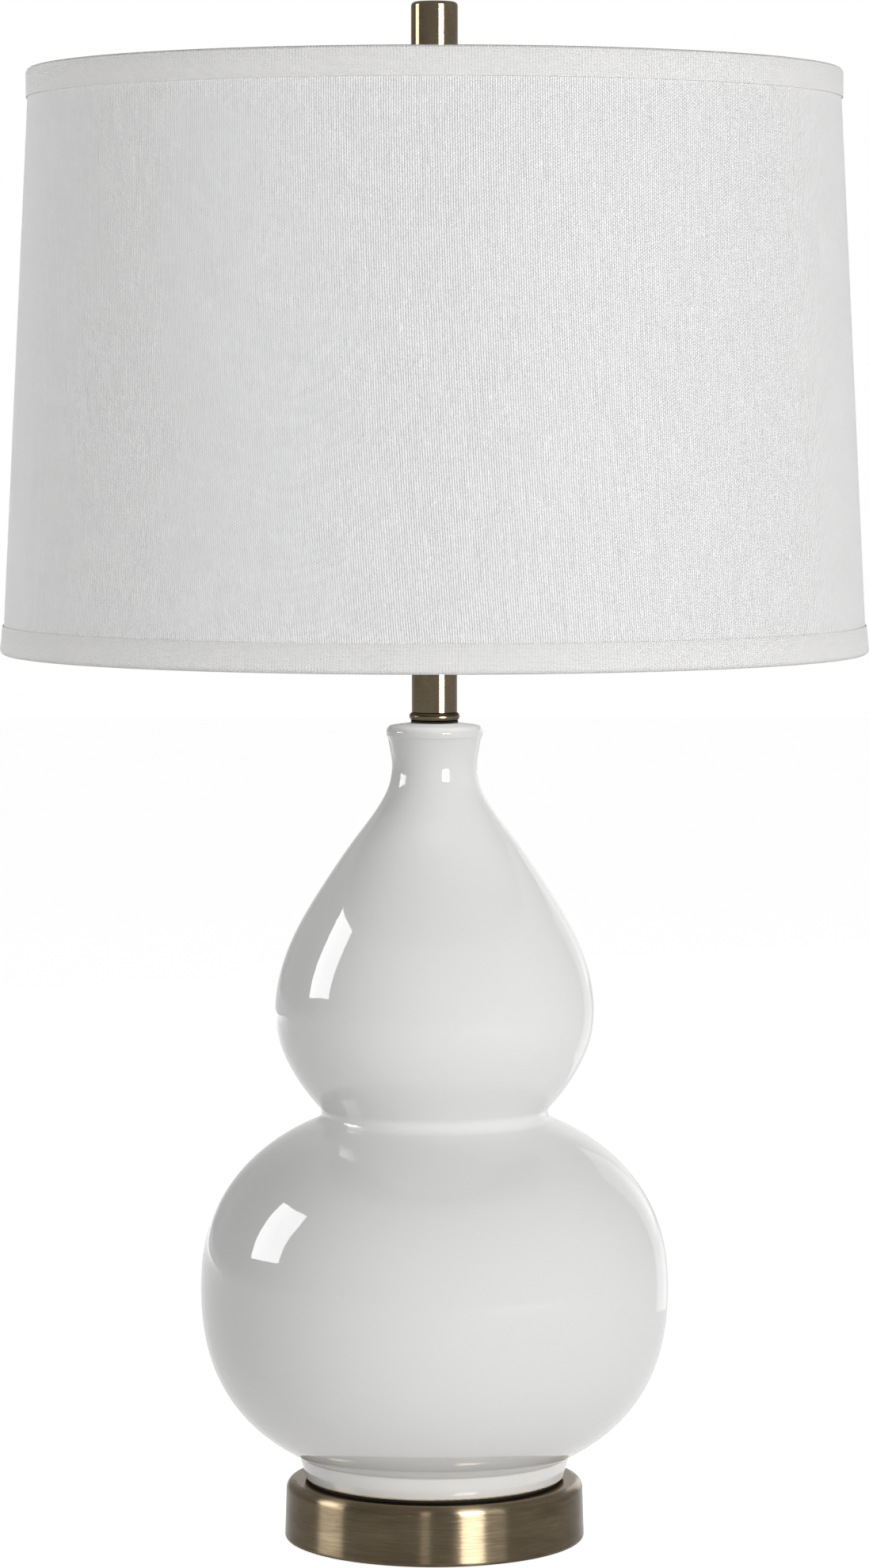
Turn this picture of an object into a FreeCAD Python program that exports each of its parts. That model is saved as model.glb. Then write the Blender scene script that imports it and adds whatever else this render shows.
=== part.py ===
"""Double gourd table lamp: glazed ceramic body on a brushed metal base, drum shade on a harp.

Millimetres, +Z up. The origin is the centre of the felt's underside, where the lamp stands.
The harp stands in the XZ plane, the switch knob points to -Y and the cord inlet faces +Y.
"""
import FreeCAD, Part
import math
import os

V = FreeCAD.Vector
UP = V(0, 0, 1)

# Base
BASE_BOTTOM_R = 66.5
BASE_TOP_R = 65.8
BASE_TOP_Z = 26.6
BASE_EDGE_R = 4.0
BASE_LIFT = 0.5
BASE_WALL = 1.8
BASE_RIM_R = 1.6
FELT_R = 63.4
FELT_T = 1.5
PLATE_T = 1.5
PLATE_HOLE_R = 9.0
WEIGHT_R = 58.0
WEIGHT_Z = 12.0
WEIGHT_POCKET_R = 22.0
WEIGHT_POCKET_T = 5.0
WEIGHT_GROOVE_TOP_Z = 17.5

# Cord inlet at the back of the base
INLET_Z = 10.0
INLET_BORE_R = 3.3
INLET_BODY_R = 5.0
INLET_FLANGE_R = 7.2
INLET_FLANGE_T = 1.8
INLET_LIP_R = 5.7
INLET_LIP_T = 2.2
INLET_LIP_GAP = 0.8

# Hollow threaded rod and what clamps the stack
ROD_R = 5.0
ROD_BORE_R = 3.3
ROD_BOTTOM_Z = 5.0
ROD_HOLE_R = 5.2
NUT_ACROSS_FLATS = 15.8
BOTTOM_NUT_T = 4.0
LOCK_NUT_T = 3.2
BOTTOM_WASHER_R = 16.0
BOTTOM_WASHER_T = 1.2
STAR_WASHER_R = 8.6
STAR_WASHER_T = 0.8
STAR_TEETH = 12
STAR_NOTCH_W = 1.2
STAR_NOTCH_DEPTH = 1.4
NUT_CHAMFER = 0.4

# Ceramic body
GASKET_R = 55.6
GASKET_INNER_R = 30.0
GASKET_T = 1.2
FOOT_BOTTOM_R = 57.5
FOOT_TOP_R = 60.4
FOOT_EDGE_R = 0.8
FOOT_FILLET = 1.5
LOWER_BELLY_R = 103.7
LOWER_BELLY_Z = 114.4
LOWER_REACH_DOWN = 86.6
LOWER_POWER_DOWN = 2.42
LOWER_REACH_UP = 81.8
LOWER_POWER_UP = 2.176
WAIST_R = 47.2
WAIST_Z = 189.05
WAIST_FILLET = 4.0
UPPER_BELLY_R = 70.3
UPPER_BELLY_Z = 230.8
UPPER_REACH_DOWN = 65.9
UPPER_POWER_DOWN = 1.624
SHOULDER = [(68.75, 250.0), (63.45, 266.0), (55.0, 282.0), (44.75, 298.0), (35.0, 312.0)]
NECK = [(23.5, 328.0), (19.6, 337.0), (18.8, 346.0), (19.75, 352.0), (20.85, 357.0)]
NECK_WAIST_R = 18.8
LIP_R = 21.15
LIP_EDGE_R = 2.6
LIP_TOP_Z = 363.0
LIP_CROWN = 1.1
CERAMIC_WALL = 6.5
SHOULDER_WALL = 7.3
CERAMIC_FLOOR_T = 9.0
CERAMIC_CROWN_T = 12.0
FOOT_RING_W = 9.0
FOOT_RECESS_T = 3.0
BODY_HOLE_R = 6.5

# Metal neck
NECK_WASHER_R = 10.4
NECK_WASHER_T = 0.9
RING_R = 11.1
RING_H = 3.9
TUBE_R = 10.0
TUBE_WALL = 0.9
TUBE_CAP_T = 1.2
TUBE_CAP_R = 10.6

# Shade: 14 in across the top, 15 in across the bottom, 10 in high
SHADE_TOP_R = 178.0
SHADE_BOTTOM_R = 190.5
SHADE_TOP_Z = 648.0
SHADE_H = 254.0
TRIM_W = 12.5
TRIM_T = 0.7
RING_WIRE_R = 1.1
RING_SEAT_R = 1.3
FABRIC_T = 0.9
LINER_T = 0.6
SPIDER_DROP = 12.7
SPIDER_ARMS = 3
SPIDER_WIRE_R = 1.25
SPIDER_BEND_R = 161.0
SPIDER_RISE_L = 9.0
HUB_R = 13.0
HUB_T = 1.5
HUB_HOLE_R = 5.55

# Harp, its saddle and its ferrules
HARP_SIZE = 203.2
HARP_WIRE_R = 1.9
HARP_LEG_X = 34.0
HARP_SIDE_X = 53.0
HARP_LEG_H = 40.0
HARP_FLARE_H = 36.0
HARP_SHOULDER_H = 32.0
HARP_BENDS = [30, 30, 40, 24]
SADDLE_T = 1.3
SADDLE_W = 13.0
SADDLE_BEND_R = 5.0
SADDLE_ARM_H = 13.4
POST_H = 8.0
POST_ROOT_H = 4.0
FERRULE_BORE_R = 2.2
FERRULE_R = 3.4
FERRULE_H = 14.0
FERRULE_GAP = 0.2
FERRULE_LIP = 0.5
FERRULE_LIP_H = 1.2
STUD_R = 3.05
STUD_HOLE_R = 3.12
STUD_H = 18.7
STUD_TIP = 0.8
SEAT_R = 8.0
SEAT_T = 1.9
RIVET_R = 4.5
RIVET_T = 1.5
HARP_PAD_R = 7.5
HARP_PAD_T = 2 * HARP_WIRE_R

# Lamp socket with its rotary switch
SOCKET_GAP = 0.3
CAP_HUB_R = 8.0
CAP_HUB_H = 7.0
CAP_R = 17.2
CAP_H = 22.0
CAP_FLARE_H = 15.0
CAP_HUB_RIM_H = 4.0
CAP_CURVE_H = 8.6
CAP_CURVE_IN = 2.6
CAP_WALL = 0.7
CAP_OVERLAP = 4.5
ROD_PAST_HUB = 1.5
SET_SCREW_R = 1.5
SET_SCREW_H = 2.0
SET_SCREW_PROUD = 1.2
SHELL_WALL = 0.6
SHELL_H = 41.0
SHELL_MOUTH_R = 14.6
SHELL_BEAD_R = 0.8
SHELL_BEAD_ABOVE_CAP = 1.4
SHELL_SHOULDER_R = 1.5
SHELL_SLOT_GAP = 1.4
LINER_SLOT_GAP = 1.0
LINER_SLEEVE_T = 0.7
BLOCK_H = 20.0
BLOCK_GAP = 2.0
BLOCK_EDGE_R = 4.0
SCREW_SHELL_R = 13.9
SCREW_SHELL_T = 0.5
SCREW_SHELL_H = 23.0
CONTACT_H = 2.4
CONTACT_T = 0.5
CONTACT_W = 4.0
TERMINAL_R = 1.9
TERMINAL_T = 1.2
TERMINAL_Z_ABOVE_BLOCK = 10.5
TERMINAL_RECESS = 2.0
SLOT_W = 0.6
KNOB_SHAFT_R = 1.6
KNOB_BORE_R = 1.66
KNOB_Z_ABOVE_BLOCK = 15.0
KNOB_SHAFT_IN = 7.0
KNOB_SHAFT_OUT = 33.0
KNOB_NEAR = 20.5
KNOB_FAR = 36.5
KNOB_R = 5.6
KNOB_EDGE_R = 1.6
KNOB_COLLAR = 3.0
KNOB_FLUTES = 12
KNOB_FLUTE_R = 0.9
KNOB_FLUTE_OUT = 0.3
SHAFT_END_GAP = 0.3

# Bulb with a medium screw base
BULB_R = 30.0
BULB_H = 109.5
BULB_GLASS_T = 1.0
BULB_THREAD_R = 13.1
BULB_THREAD_DEPTH = 0.7
BULB_THREAD_PITCH = 3.63
BULB_TURNS = 5
BULB_CAP_H = 25.0
BULB_TIP_GAP = 0.3
BULB_TIP_H = 1.5
BULB_TIP_R = 4.0
BULB_INSULATOR_LOW_R = 4.6
BULB_INSULATOR_R = 9.6
BULB_INSULATOR_H = 4.0
BULB_CAP_BEVEL = 0.9

# Finial
FINIAL_R = 10.25
FINIAL_TOP_Z = 677.8
FINIAL_EDGE_R = 1.9
FINIAL_FOOT_BEVEL = 0.5
FINIAL_BORE_R = 3.35
FINIAL_BORE_H = 21.0

# Places worked out from the sizes above
WASHER_Z = WEIGHT_Z + WEIGHT_POCKET_T - BOTTOM_WASHER_T
STAR_Z = WASHER_Z - STAR_WASHER_T
GASKET_Z = BASE_TOP_Z
FOOT_Z = GASKET_Z + GASKET_T
RING_Z = LIP_TOP_Z + NECK_WASHER_T
TUBE_Z = RING_Z + RING_H
HUB_TOP_Z = SHADE_TOP_Z - SPIDER_DROP
SEAT_Z = HUB_TOP_Z - HUB_T
SADDLE_Z = SEAT_Z - HARP_SIZE
TUBE_CAP_Z = SADDLE_Z - TUBE_CAP_T
SADDLE_TOP_Z = SADDLE_Z + SADDLE_T
ARM_TOP_Z = SADDLE_Z + SADDLE_ARM_H
POST_TOP_Z = ARM_TOP_Z + POST_H
HARP_TOP_Z = SEAT_Z - SEAT_T - HARP_WIRE_R
LOCK_NUT_Z = SADDLE_TOP_Z
CAP_Z = LOCK_NUT_Z + LOCK_NUT_T + SOCKET_GAP
ROD_TOP_Z = CAP_Z + CAP_HUB_H + ROD_PAST_HUB
SHELL_R = CAP_R - CAP_WALL
BLOCK_R = SHELL_R - SHELL_WALL - LINER_SLEEVE_T
SHELL_Z = CAP_Z + CAP_H - CAP_OVERLAP
SHELL_TOP_Z = SHELL_Z + SHELL_H
BLOCK_Z = ROD_TOP_Z + BLOCK_GAP
BLOCK_TOP_Z = BLOCK_Z + BLOCK_H
KNOB_Z = BLOCK_Z + KNOB_Z_ABOVE_BLOCK
TERMINAL_Z = BLOCK_Z + TERMINAL_Z_ABOVE_BLOCK
CONTACT_TOP_Z = BLOCK_TOP_Z + CONTACT_H
BULB_Z = CONTACT_TOP_Z + BULB_TIP_GAP
SHADE_BOTTOM_Z = SHADE_TOP_Z - SHADE_H
EDGE_R = RING_SEAT_R + TRIM_T
LOW_RING_Z = SHADE_BOTTOM_Z + EDGE_R
HIGH_RING_Z = SHADE_TOP_Z - EDGE_R
LOW_RING_R = SHADE_BOTTOM_R - EDGE_R
HIGH_RING_R = SHADE_TOP_R - EDGE_R
SHADE_HALF_T = (FABRIC_T + LINER_T) / 2


# Small helpers: an outline lies in the XZ plane as (radius, height) pairs
def at(point):
    return V(point[0], 0, point[1])


def line(start, end):
    return Part.LineSegment(at(start), at(end)).toShape()


def arc(start, middle, end):
    return Part.Arc(at(start), at(middle), at(end)).toShape()


def lines(points):
    return [line(a, b) for a, b in zip(points, points[1:])]


def spline(points, last_way=None):
    """A smooth curve through the points, which may end in a given direction."""
    curve = Part.BSplineCurve()
    places = [at(p) for p in points]
    if last_way is None:
        curve.interpolate(places)
    else:
        free = len(places) - 1
        curve.interpolate(Points=places, Tangents=[V(0, 0, 0)] * free + [last_way],
                          TangentFlags=[False] * free + [True])
    return curve.toShape()


def corner_arc(centre, radius, start_deg, end_deg):
    """An arc about a centre in the outline's plane, from one angle to another."""
    angles = [math.radians(a) for a in (start_deg, (start_deg + end_deg) / 2, end_deg)]
    points = [(centre[0] + radius * math.cos(a), centre[1] + radius * math.sin(a)) for a in angles]
    return arc(*points)


def turned(edges):
    """The closed outline turned once about the Z axis."""
    face = Part.Face(Part.Wire(Part.__sortEdges__(edges)))
    solid = Part.Solid(face.revolve(V(0, 0, 0), UP, 360).Shells[0])
    if solid.Volume < 0:
        solid.reverse()
    return solid


def closed_lines(points):
    return lines(points + points[:1])


def disc(radius, low, high):
    return Part.makeCylinder(radius, high - low, V(0, 0, low))


def ring(outer_r, inner_r, low, high):
    return disc(outer_r, low, high).cut(disc(inner_r, low - 1, high + 1))


def rod_along_y(radius, low, high, height):
    return Part.makeCylinder(radius, high - low, V(0, low, height), V(0, 1, 0))


def hex_nut(across_flats, hole_r, low, thickness):
    corner = across_flats / math.sqrt(3)
    points = [V(corner * math.cos(math.radians(60 * i)), corner * math.sin(math.radians(60 * i)), low)
              for i in range(6)]
    prism = Part.Face(Part.makePolygon(points + points[:1])).extrude(V(0, 0, thickness))
    rounding = disc(corner - NUT_CHAMFER, low, low + thickness)
    return prism.common(rounding).cut(disc(hole_r, low - 1, low + thickness + 1))


def superellipse(radius, centre_z, reach, power, start, end, count):
    """Points on a rounded belly: from start to end, where 0 is the widest ring and 1 the pole."""
    points = []
    for i in range(count):
        angle = math.pi / 2 * (start + (end - start) * i / (count - 1))
        r = radius * math.cos(angle) ** (2 / power)
        z = centre_z + reach * math.sin(angle) ** (2 / power)
        points.append((r, z))
    return points


def belly_share(r, radius, power):
    """Where on the superellipse the belly has this radius, as a share of the way to the pole."""
    return math.acos((r / radius) ** (power / 2)) / (math.pi / 2)


def rounded_path(points, radii):
    """Straight runs joined by tangent arcs; radii has one value per inner point."""
    edges = []
    last = points[0]
    for before, point, after, radius in zip(points, points[1:], points[2:], radii):
        back = (before - point).normalize()
        ahead = (after - point).normalize()
        half_turn = (math.pi - back.getAngle(ahead)) / 2
        reach = radius * math.tan(half_turn)
        bisector = (back + ahead).normalize()
        start = point + back * reach
        end = point + ahead * reach
        middle = point + bisector * (radius / math.cos(half_turn) - radius)
        edges.append(Part.LineSegment(last, start).toShape())
        edges.append(Part.Arc(start, middle, end).toShape())
        last = end
    edges.append(Part.LineSegment(last, points[-1]).toShape())
    return Part.Wire(edges)


def swept_wire(path, radius):
    """A round wire along a path."""
    first = path.Edges[0]
    start = first.valueAt(first.FirstParameter)
    direction = first.tangentAt(first.FirstParameter)
    section = Part.Wire(Part.makeCircle(radius, start, direction))
    return path.makePipeShell([section], True, False)


# Base and foot
def felt_pad():
    return disc(FELT_R, 0, FELT_T)


def base_plate():
    """Board pressed into the mouth of the base, which the felt is glued to."""
    return ring(BASE_TOP_R - BASE_WALL, PLATE_HOLE_R, FELT_T, FELT_T + PLATE_T)


def base_shell():
    inner_r = BASE_TOP_R - BASE_WALL
    under_top = BASE_TOP_Z - BASE_WALL
    edge_z = BASE_TOP_Z - BASE_EDGE_R
    rim_r = BASE_BOTTOM_R - BASE_RIM_R
    rim_z = BASE_LIFT + BASE_RIM_R
    edges = [corner_arc((rim_r, rim_z), BASE_RIM_R, -90, 0)]
    edges.append(line((BASE_BOTTOM_R, rim_z), (BASE_TOP_R, edge_z)))
    edges.append(corner_arc((BASE_TOP_R - BASE_EDGE_R, edge_z), BASE_EDGE_R, 0, 90))
    edges += lines([(BASE_TOP_R - BASE_EDGE_R, BASE_TOP_Z), (ROD_HOLE_R, BASE_TOP_Z),
                    (ROD_HOLE_R, under_top), (inner_r - BASE_EDGE_R, under_top)])
    edges.append(corner_arc((inner_r - BASE_EDGE_R, under_top - BASE_EDGE_R), BASE_EDGE_R, 90, 0))
    edges += lines([(inner_r, under_top - BASE_EDGE_R), (inner_r, BASE_LIFT), (rim_r, BASE_LIFT)])
    inlet = rod_along_y(INLET_BODY_R, inner_r / 2, 2 * inner_r, INLET_Z)
    return turned(edges).cut(inlet)


def base_weight():
    """Cast disc under the base's top, with a pocket for the nut and a groove to the inlet."""
    weight = ring(WEIGHT_R, ROD_HOLE_R, WEIGHT_Z, BASE_TOP_Z - BASE_WALL)
    pocket = disc(WEIGHT_POCKET_R, WEIGHT_Z, WEIGHT_Z + WEIGHT_POCKET_T)
    groove = Part.makeBox(2 * INLET_FLANGE_R, WEIGHT_R, WEIGHT_GROOVE_TOP_Z - WEIGHT_Z,
                          V(-INLET_FLANGE_R, WEIGHT_POCKET_R / 2, WEIGHT_Z))
    return weight.cut(pocket).cut(groove)


def cord_bushing():
    """Bushing with a flange outside the wall and a lip that snaps in behind it."""
    lip_end_y = BASE_TOP_R - BASE_WALL - INLET_LIP_GAP
    inner_y = lip_end_y - INLET_LIP_T
    outer_y = BASE_BOTTOM_R + INLET_FLANGE_T
    body = rod_along_y(INLET_BODY_R, inner_y, outer_y, INLET_Z)
    flange = rod_along_y(INLET_FLANGE_R, inner_y, outer_y, INLET_Z)
    flange = flange.cut(disc(BASE_BOTTOM_R, -BASE_TOP_Z, BASE_TOP_Z))
    lip = rod_along_y(INLET_LIP_R, inner_y, lip_end_y, INLET_Z)
    bore = rod_along_y(INLET_BORE_R, inner_y / 2, 2 * outer_y, INLET_Z)
    return body.fuse([flange, lip]).removeSplitter().cut(bore)


def bottom_washer():
    return ring(BOTTOM_WASHER_R, ROD_HOLE_R, WASHER_Z, WASHER_Z + BOTTOM_WASHER_T)


def star_washer():
    washer = ring(STAR_WASHER_R, ROD_HOLE_R, STAR_Z, WASHER_Z)
    notch = Part.makeBox(2 * STAR_NOTCH_DEPTH, STAR_NOTCH_W, 3 * STAR_WASHER_T,
                         V(STAR_WASHER_R - STAR_NOTCH_DEPTH, -STAR_NOTCH_W / 2, STAR_Z - STAR_WASHER_T))
    for i in range(STAR_TEETH):
        turn = notch.copy()
        turn.rotate(V(0, 0, 0), UP, 360 * i / STAR_TEETH)
        washer = washer.cut(turn)
    return washer


def rod_nuts():
    bottom = hex_nut(NUT_ACROSS_FLATS, ROD_R, STAR_Z - BOTTOM_NUT_T, BOTTOM_NUT_T)
    lock = hex_nut(NUT_ACROSS_FLATS, ROD_R, LOCK_NUT_Z, LOCK_NUT_T)
    return Part.makeCompound([bottom, lock])


def threaded_rod():
    return ring(ROD_R, ROD_BORE_R, ROD_BOTTOM_Z, ROD_TOP_Z)


def foot_gasket():
    return ring(GASKET_R, GASKET_INNER_R, GASKET_Z, GASKET_Z + GASKET_T)


# Ceramic body
def lower_bulb_points(inset, foot_r, waist_r, count):
    """Outline of the lower bulb from the foot to the waist, moved in by the wall."""
    radius = LOWER_BELLY_R - inset
    down = belly_share(foot_r, radius, LOWER_POWER_DOWN)
    up = belly_share(waist_r, radius, LOWER_POWER_UP)
    low = superellipse(radius, LOWER_BELLY_Z, -(LOWER_REACH_DOWN - inset), LOWER_POWER_DOWN, down, 0, count)
    high = superellipse(radius, LOWER_BELLY_Z, LOWER_REACH_UP - inset, LOWER_POWER_UP, 0, up, count)
    return low + high[1:]


def upper_bulb_points(inset, waist_r, count):
    """Outline of the upper bulb from the waist to its widest ring."""
    radius = UPPER_BELLY_R - inset
    down = belly_share(waist_r, radius, UPPER_POWER_DOWN)
    return superellipse(radius, UPPER_BELLY_Z, -(UPPER_REACH_DOWN - inset), UPPER_POWER_DOWN, down, 0, count)


def gourd_outside():
    waist = [(WAIST_R, WAIST_Z)]
    lower = lower_bulb_points(0, FOOT_TOP_R, WAIST_R, 7)[:-1] + waist
    edge_r = LIP_R - LIP_EDGE_R
    edge_z = LIP_TOP_Z - LIP_CROWN - LIP_EDGE_R
    lip = [(LIP_R, edge_z)]
    upper = waist + upper_bulb_points(0, WAIST_R, 5)[1:] + SHOULDER + NECK + lip
    edges = [corner_arc((FOOT_BOTTOM_R - FOOT_EDGE_R, FOOT_Z + FOOT_EDGE_R), FOOT_EDGE_R, -90, 0)]
    edges.append(line((FOOT_BOTTOM_R, FOOT_Z + FOOT_EDGE_R), lower[0]))
    edges.append(spline(lower))
    edges.append(spline(upper, UP))
    slope = math.atan2(LIP_CROWN, edge_r - NECK_WASHER_R)
    edges.append(corner_arc((edge_r, edge_z), LIP_EDGE_R, 0, 90 - math.degrees(slope)))
    edge_top = (edge_r + LIP_EDGE_R * math.sin(slope), edge_z + LIP_EDGE_R * math.cos(slope))
    edges += lines([edge_top, (NECK_WASHER_R, LIP_TOP_Z), (0, LIP_TOP_Z), (0, FOOT_Z),
                    (FOOT_BOTTOM_R - FOOT_EDGE_R, FOOT_Z)])
    return turned(edges)


def gourd_cavity():
    """Hollow inside, as slip casting leaves it, with the holes that the rod passes."""
    wall = CERAMIC_WALL
    waist_r = WAIST_R - wall
    floor_z = FOOT_Z + CERAMIC_FLOOR_T
    lower = lower_bulb_points(wall, FOOT_TOP_R - wall, waist_r, 5)
    shoulder = [(r - SHOULDER_WALL, z) for r, z in SHOULDER + NECK[:1]]
    upper = upper_bulb_points(wall, waist_r, 4) + shoulder
    edges = [spline(lower), line(lower[-1], upper[0]), spline(upper)]
    top_z = LIP_TOP_Z - CERAMIC_CROWN_T
    throat_r = NECK_WAIST_R - wall
    edges += lines([upper[-1], (throat_r, (upper[-1][1] + top_z) / 2), (throat_r, top_z),
                    (0, top_z), (0, floor_z), (lower[0][0] - wall, floor_z), lower[0]])
    return turned(edges)


def gourd_casting():
    """The ceramic body in one piece, hollow, with its waist and its foot's crease rounded."""
    body = gourd_outside()
    for crease_r, fillet in ((WAIST_R, WAIST_FILLET), (FOOT_TOP_R, FOOT_FILLET)):
        body = body.makeFillet(fillet, level_edges(body, crease_r))
    body = body.cut(gourd_cavity())
    hole = disc(BODY_HOLE_R, 0, 2 * LIP_TOP_Z)
    recess = disc(FOOT_BOTTOM_R - FOOT_RING_W, FOOT_Z, FOOT_Z + FOOT_RECESS_T)
    return body.cut(hole).cut(recess)


def gourd_pieces():
    """The casting as lower bulb, upper bulb and neck, cut where it narrows: each is nearly convex."""
    casting = gourd_casting()
    cuts = [0, WAIST_Z, NECK[0][1], 2 * LIP_TOP_Z]
    names = ["gourd_lower", "gourd_upper", "gourd_neck"]
    pieces = {}
    for name, low, high in zip(names, cuts, cuts[1:]):
        pieces[name] = casting.common(disc(2 * LOWER_BELLY_R, low, high))
    return pieces


def level_edges(body, radius):
    """The body's level round edges of about a radius."""
    boxes = [(edge, edge.BoundBox) for edge in body.Edges]
    return [edge for edge, box in boxes if box.ZLength < 0.01 and abs(box.XLength / 2 - radius) < 0.5]


# Metal neck
def neck_washer():
    return ring(NECK_WASHER_R, ROD_HOLE_R, LIP_TOP_Z, LIP_TOP_Z + NECK_WASHER_T)


def check_ring():
    bead = RING_H / 2
    edges = lines([(RING_R - bead, RING_Z + RING_H), (ROD_HOLE_R, RING_Z + RING_H), (ROD_HOLE_R, RING_Z),
                   (RING_R - bead, RING_Z)])
    edges.append(corner_arc((RING_R - bead, RING_Z + bead), bead, -90, 90))
    return turned(edges)


def neck_tube():
    return ring(TUBE_R, TUBE_R - TUBE_WALL, TUBE_Z, TUBE_CAP_Z)


def tube_cap():
    return ring(TUBE_CAP_R, ROD_HOLE_R, TUBE_CAP_Z, SADDLE_Z)


# Harp
def harp_saddle():
    outer_x = HARP_LEG_X + SADDLE_T / 2
    inner_x = HARP_LEG_X - SADDLE_T / 2
    outline = [(-outer_x, ARM_TOP_Z), (-outer_x, SADDLE_Z), (outer_x, SADDLE_Z), (outer_x, ARM_TOP_Z),
               (inner_x, ARM_TOP_Z), (inner_x, SADDLE_TOP_Z), (-inner_x, SADDLE_TOP_Z),
               (-inner_x, ARM_TOP_Z)]
    face = Part.Face(Part.Wire(closed_lines(outline)))
    strap = face.extrude(V(0, SADDLE_W, 0))
    strap.translate(V(0, -SADDLE_W / 2, 0))
    strap = strap.makeFillet(SADDLE_BEND_R, corner_edges(strap, outer_x, SADDLE_Z))
    strap = strap.makeFillet(SADDLE_BEND_R - SADDLE_T, corner_edges(strap, inner_x, SADDLE_TOP_Z))
    for side in (-1, 1):
        root = V(side * HARP_LEG_X, 0, ARM_TOP_Z - POST_ROOT_H)
        strap = strap.fuse(Part.makeCylinder(HARP_WIRE_R, POST_H + POST_ROOT_H, root))
    return strap.cut(disc(ROD_HOLE_R, SADDLE_Z - SADDLE_T, SADDLE_TOP_Z + SADDLE_T))


def corner_edges(shape, x, z):
    """The two edges across the strap that lie at this distance from its middle and this height."""
    found = []
    for edge in shape.Edges:
        box = edge.BoundBox
        if box.XLength < 0.01 and box.ZLength < 0.01 and abs(abs(box.XMin) - x) < 0.01:
            if abs(box.ZMin - z) < 0.01:
                found.append(edge)
    return found


def harp_frame():
    """One bent wire, with the flat eye that the stud is riveted through."""
    low_bend = POST_TOP_Z + HARP_LEG_H
    points = [(HARP_LEG_X, POST_TOP_Z), (HARP_LEG_X, low_bend), (HARP_SIDE_X, low_bend + HARP_FLARE_H),
              (HARP_SIDE_X, HARP_TOP_Z - HARP_SHOULDER_H), (HARP_LEG_X, HARP_TOP_Z), (0, HARP_TOP_Z)]
    path = rounded_path([at(p) for p in points], HARP_BENDS)
    half = swept_wire(path, HARP_WIRE_R)
    other = half.mirror(V(0, 0, 0), V(1, 0, 0))
    pad_top = HARP_TOP_Z + HARP_WIRE_R
    frame = disc(HARP_PAD_R, pad_top - HARP_PAD_T, pad_top).fuse([half, other])
    return frame.cut(disc(STUD_HOLE_R, pad_top - 2 * HARP_PAD_T, pad_top + HARP_PAD_T))


def harp_stud():
    """Threaded stud with its seat for the shade, riveted through the harp's eye."""
    pad_top = SEAT_Z - SEAT_T
    pad_low = pad_top - HARP_PAD_T
    top = SEAT_Z + STUD_H
    outline = [(0, pad_low - RIVET_T), (RIVET_R, pad_low - RIVET_T), (RIVET_R, pad_low), (STUD_R, pad_low),
               (STUD_R, pad_top), (SEAT_R, pad_top), (SEAT_R, SEAT_Z), (STUD_R, SEAT_Z),
               (STUD_R, top - STUD_TIP), (STUD_R - STUD_TIP, top), (0, top)]
    return turned(closed_lines(outline))


def harp_ferrule(side):
    low = ARM_TOP_Z + FERRULE_GAP
    high = low + FERRULE_H
    neck_r = FERRULE_R - FERRULE_LIP
    lip_top = low + FERRULE_LIP_H
    outline = [(FERRULE_BORE_R, low), (FERRULE_R, low), (FERRULE_R, lip_top),
               (neck_r, lip_top + FERRULE_LIP), (neck_r, high - FERRULE_LIP),
               (neck_r - FERRULE_LIP, high), (FERRULE_BORE_R, high)]
    ferrule = turned(closed_lines(outline))
    ferrule.translate(V(side * HARP_LEG_X, 0, 0))
    return ferrule


# Lamp socket
def socket_cap():
    """Spun cap with the threaded hub that screws on to the rod."""
    hub_top = CAP_Z + CAP_HUB_H
    flare_z = CAP_Z + CAP_FLARE_H
    top = CAP_Z + CAP_H
    rim_z = CAP_Z + CAP_HUB_RIM_H
    curve_r = CAP_R - CAP_CURVE_IN
    curve_z = CAP_Z + CAP_CURVE_H
    edges = lines([(ROD_R, CAP_Z), (CAP_HUB_R, CAP_Z), (CAP_HUB_R, rim_z)])
    edges.append(arc((CAP_HUB_R, rim_z), (curve_r, curve_z), (CAP_R, flare_z)))
    edges += lines([(CAP_R, flare_z), (CAP_R, top), (SHELL_R, top), (SHELL_R, flare_z)])
    edges.append(arc((SHELL_R, flare_z), (curve_r - CAP_WALL, curve_z + 2 * CAP_WALL), (CAP_HUB_R, hub_top)))
    edges += lines([(CAP_HUB_R, hub_top), (ROD_R, hub_top), (ROD_R, CAP_Z)])
    return turned(edges).cut(set_screw_rod(CAP_R))


def set_screw_rod(end_x):
    start = V(ROD_R / 2, 0, CAP_Z + SET_SCREW_H)
    return Part.makeCylinder(SET_SCREW_R, end_x - ROD_R / 2, start, V(1, 0, 0))


def cap_set_screw():
    end_x = CAP_HUB_R + SET_SCREW_PROUD
    slot = Part.makeBox(SLOT_W, 4 * SET_SCREW_R, SLOT_W,
                        V(end_x - SLOT_W, -2 * SET_SCREW_R, CAP_Z + SET_SCREW_H - SLOT_W / 2))
    return set_screw_rod(end_x).cut(slot).cut(disc(ROD_R, CAP_Z - 1, CAP_Z + CAP_HUB_H))


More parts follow.
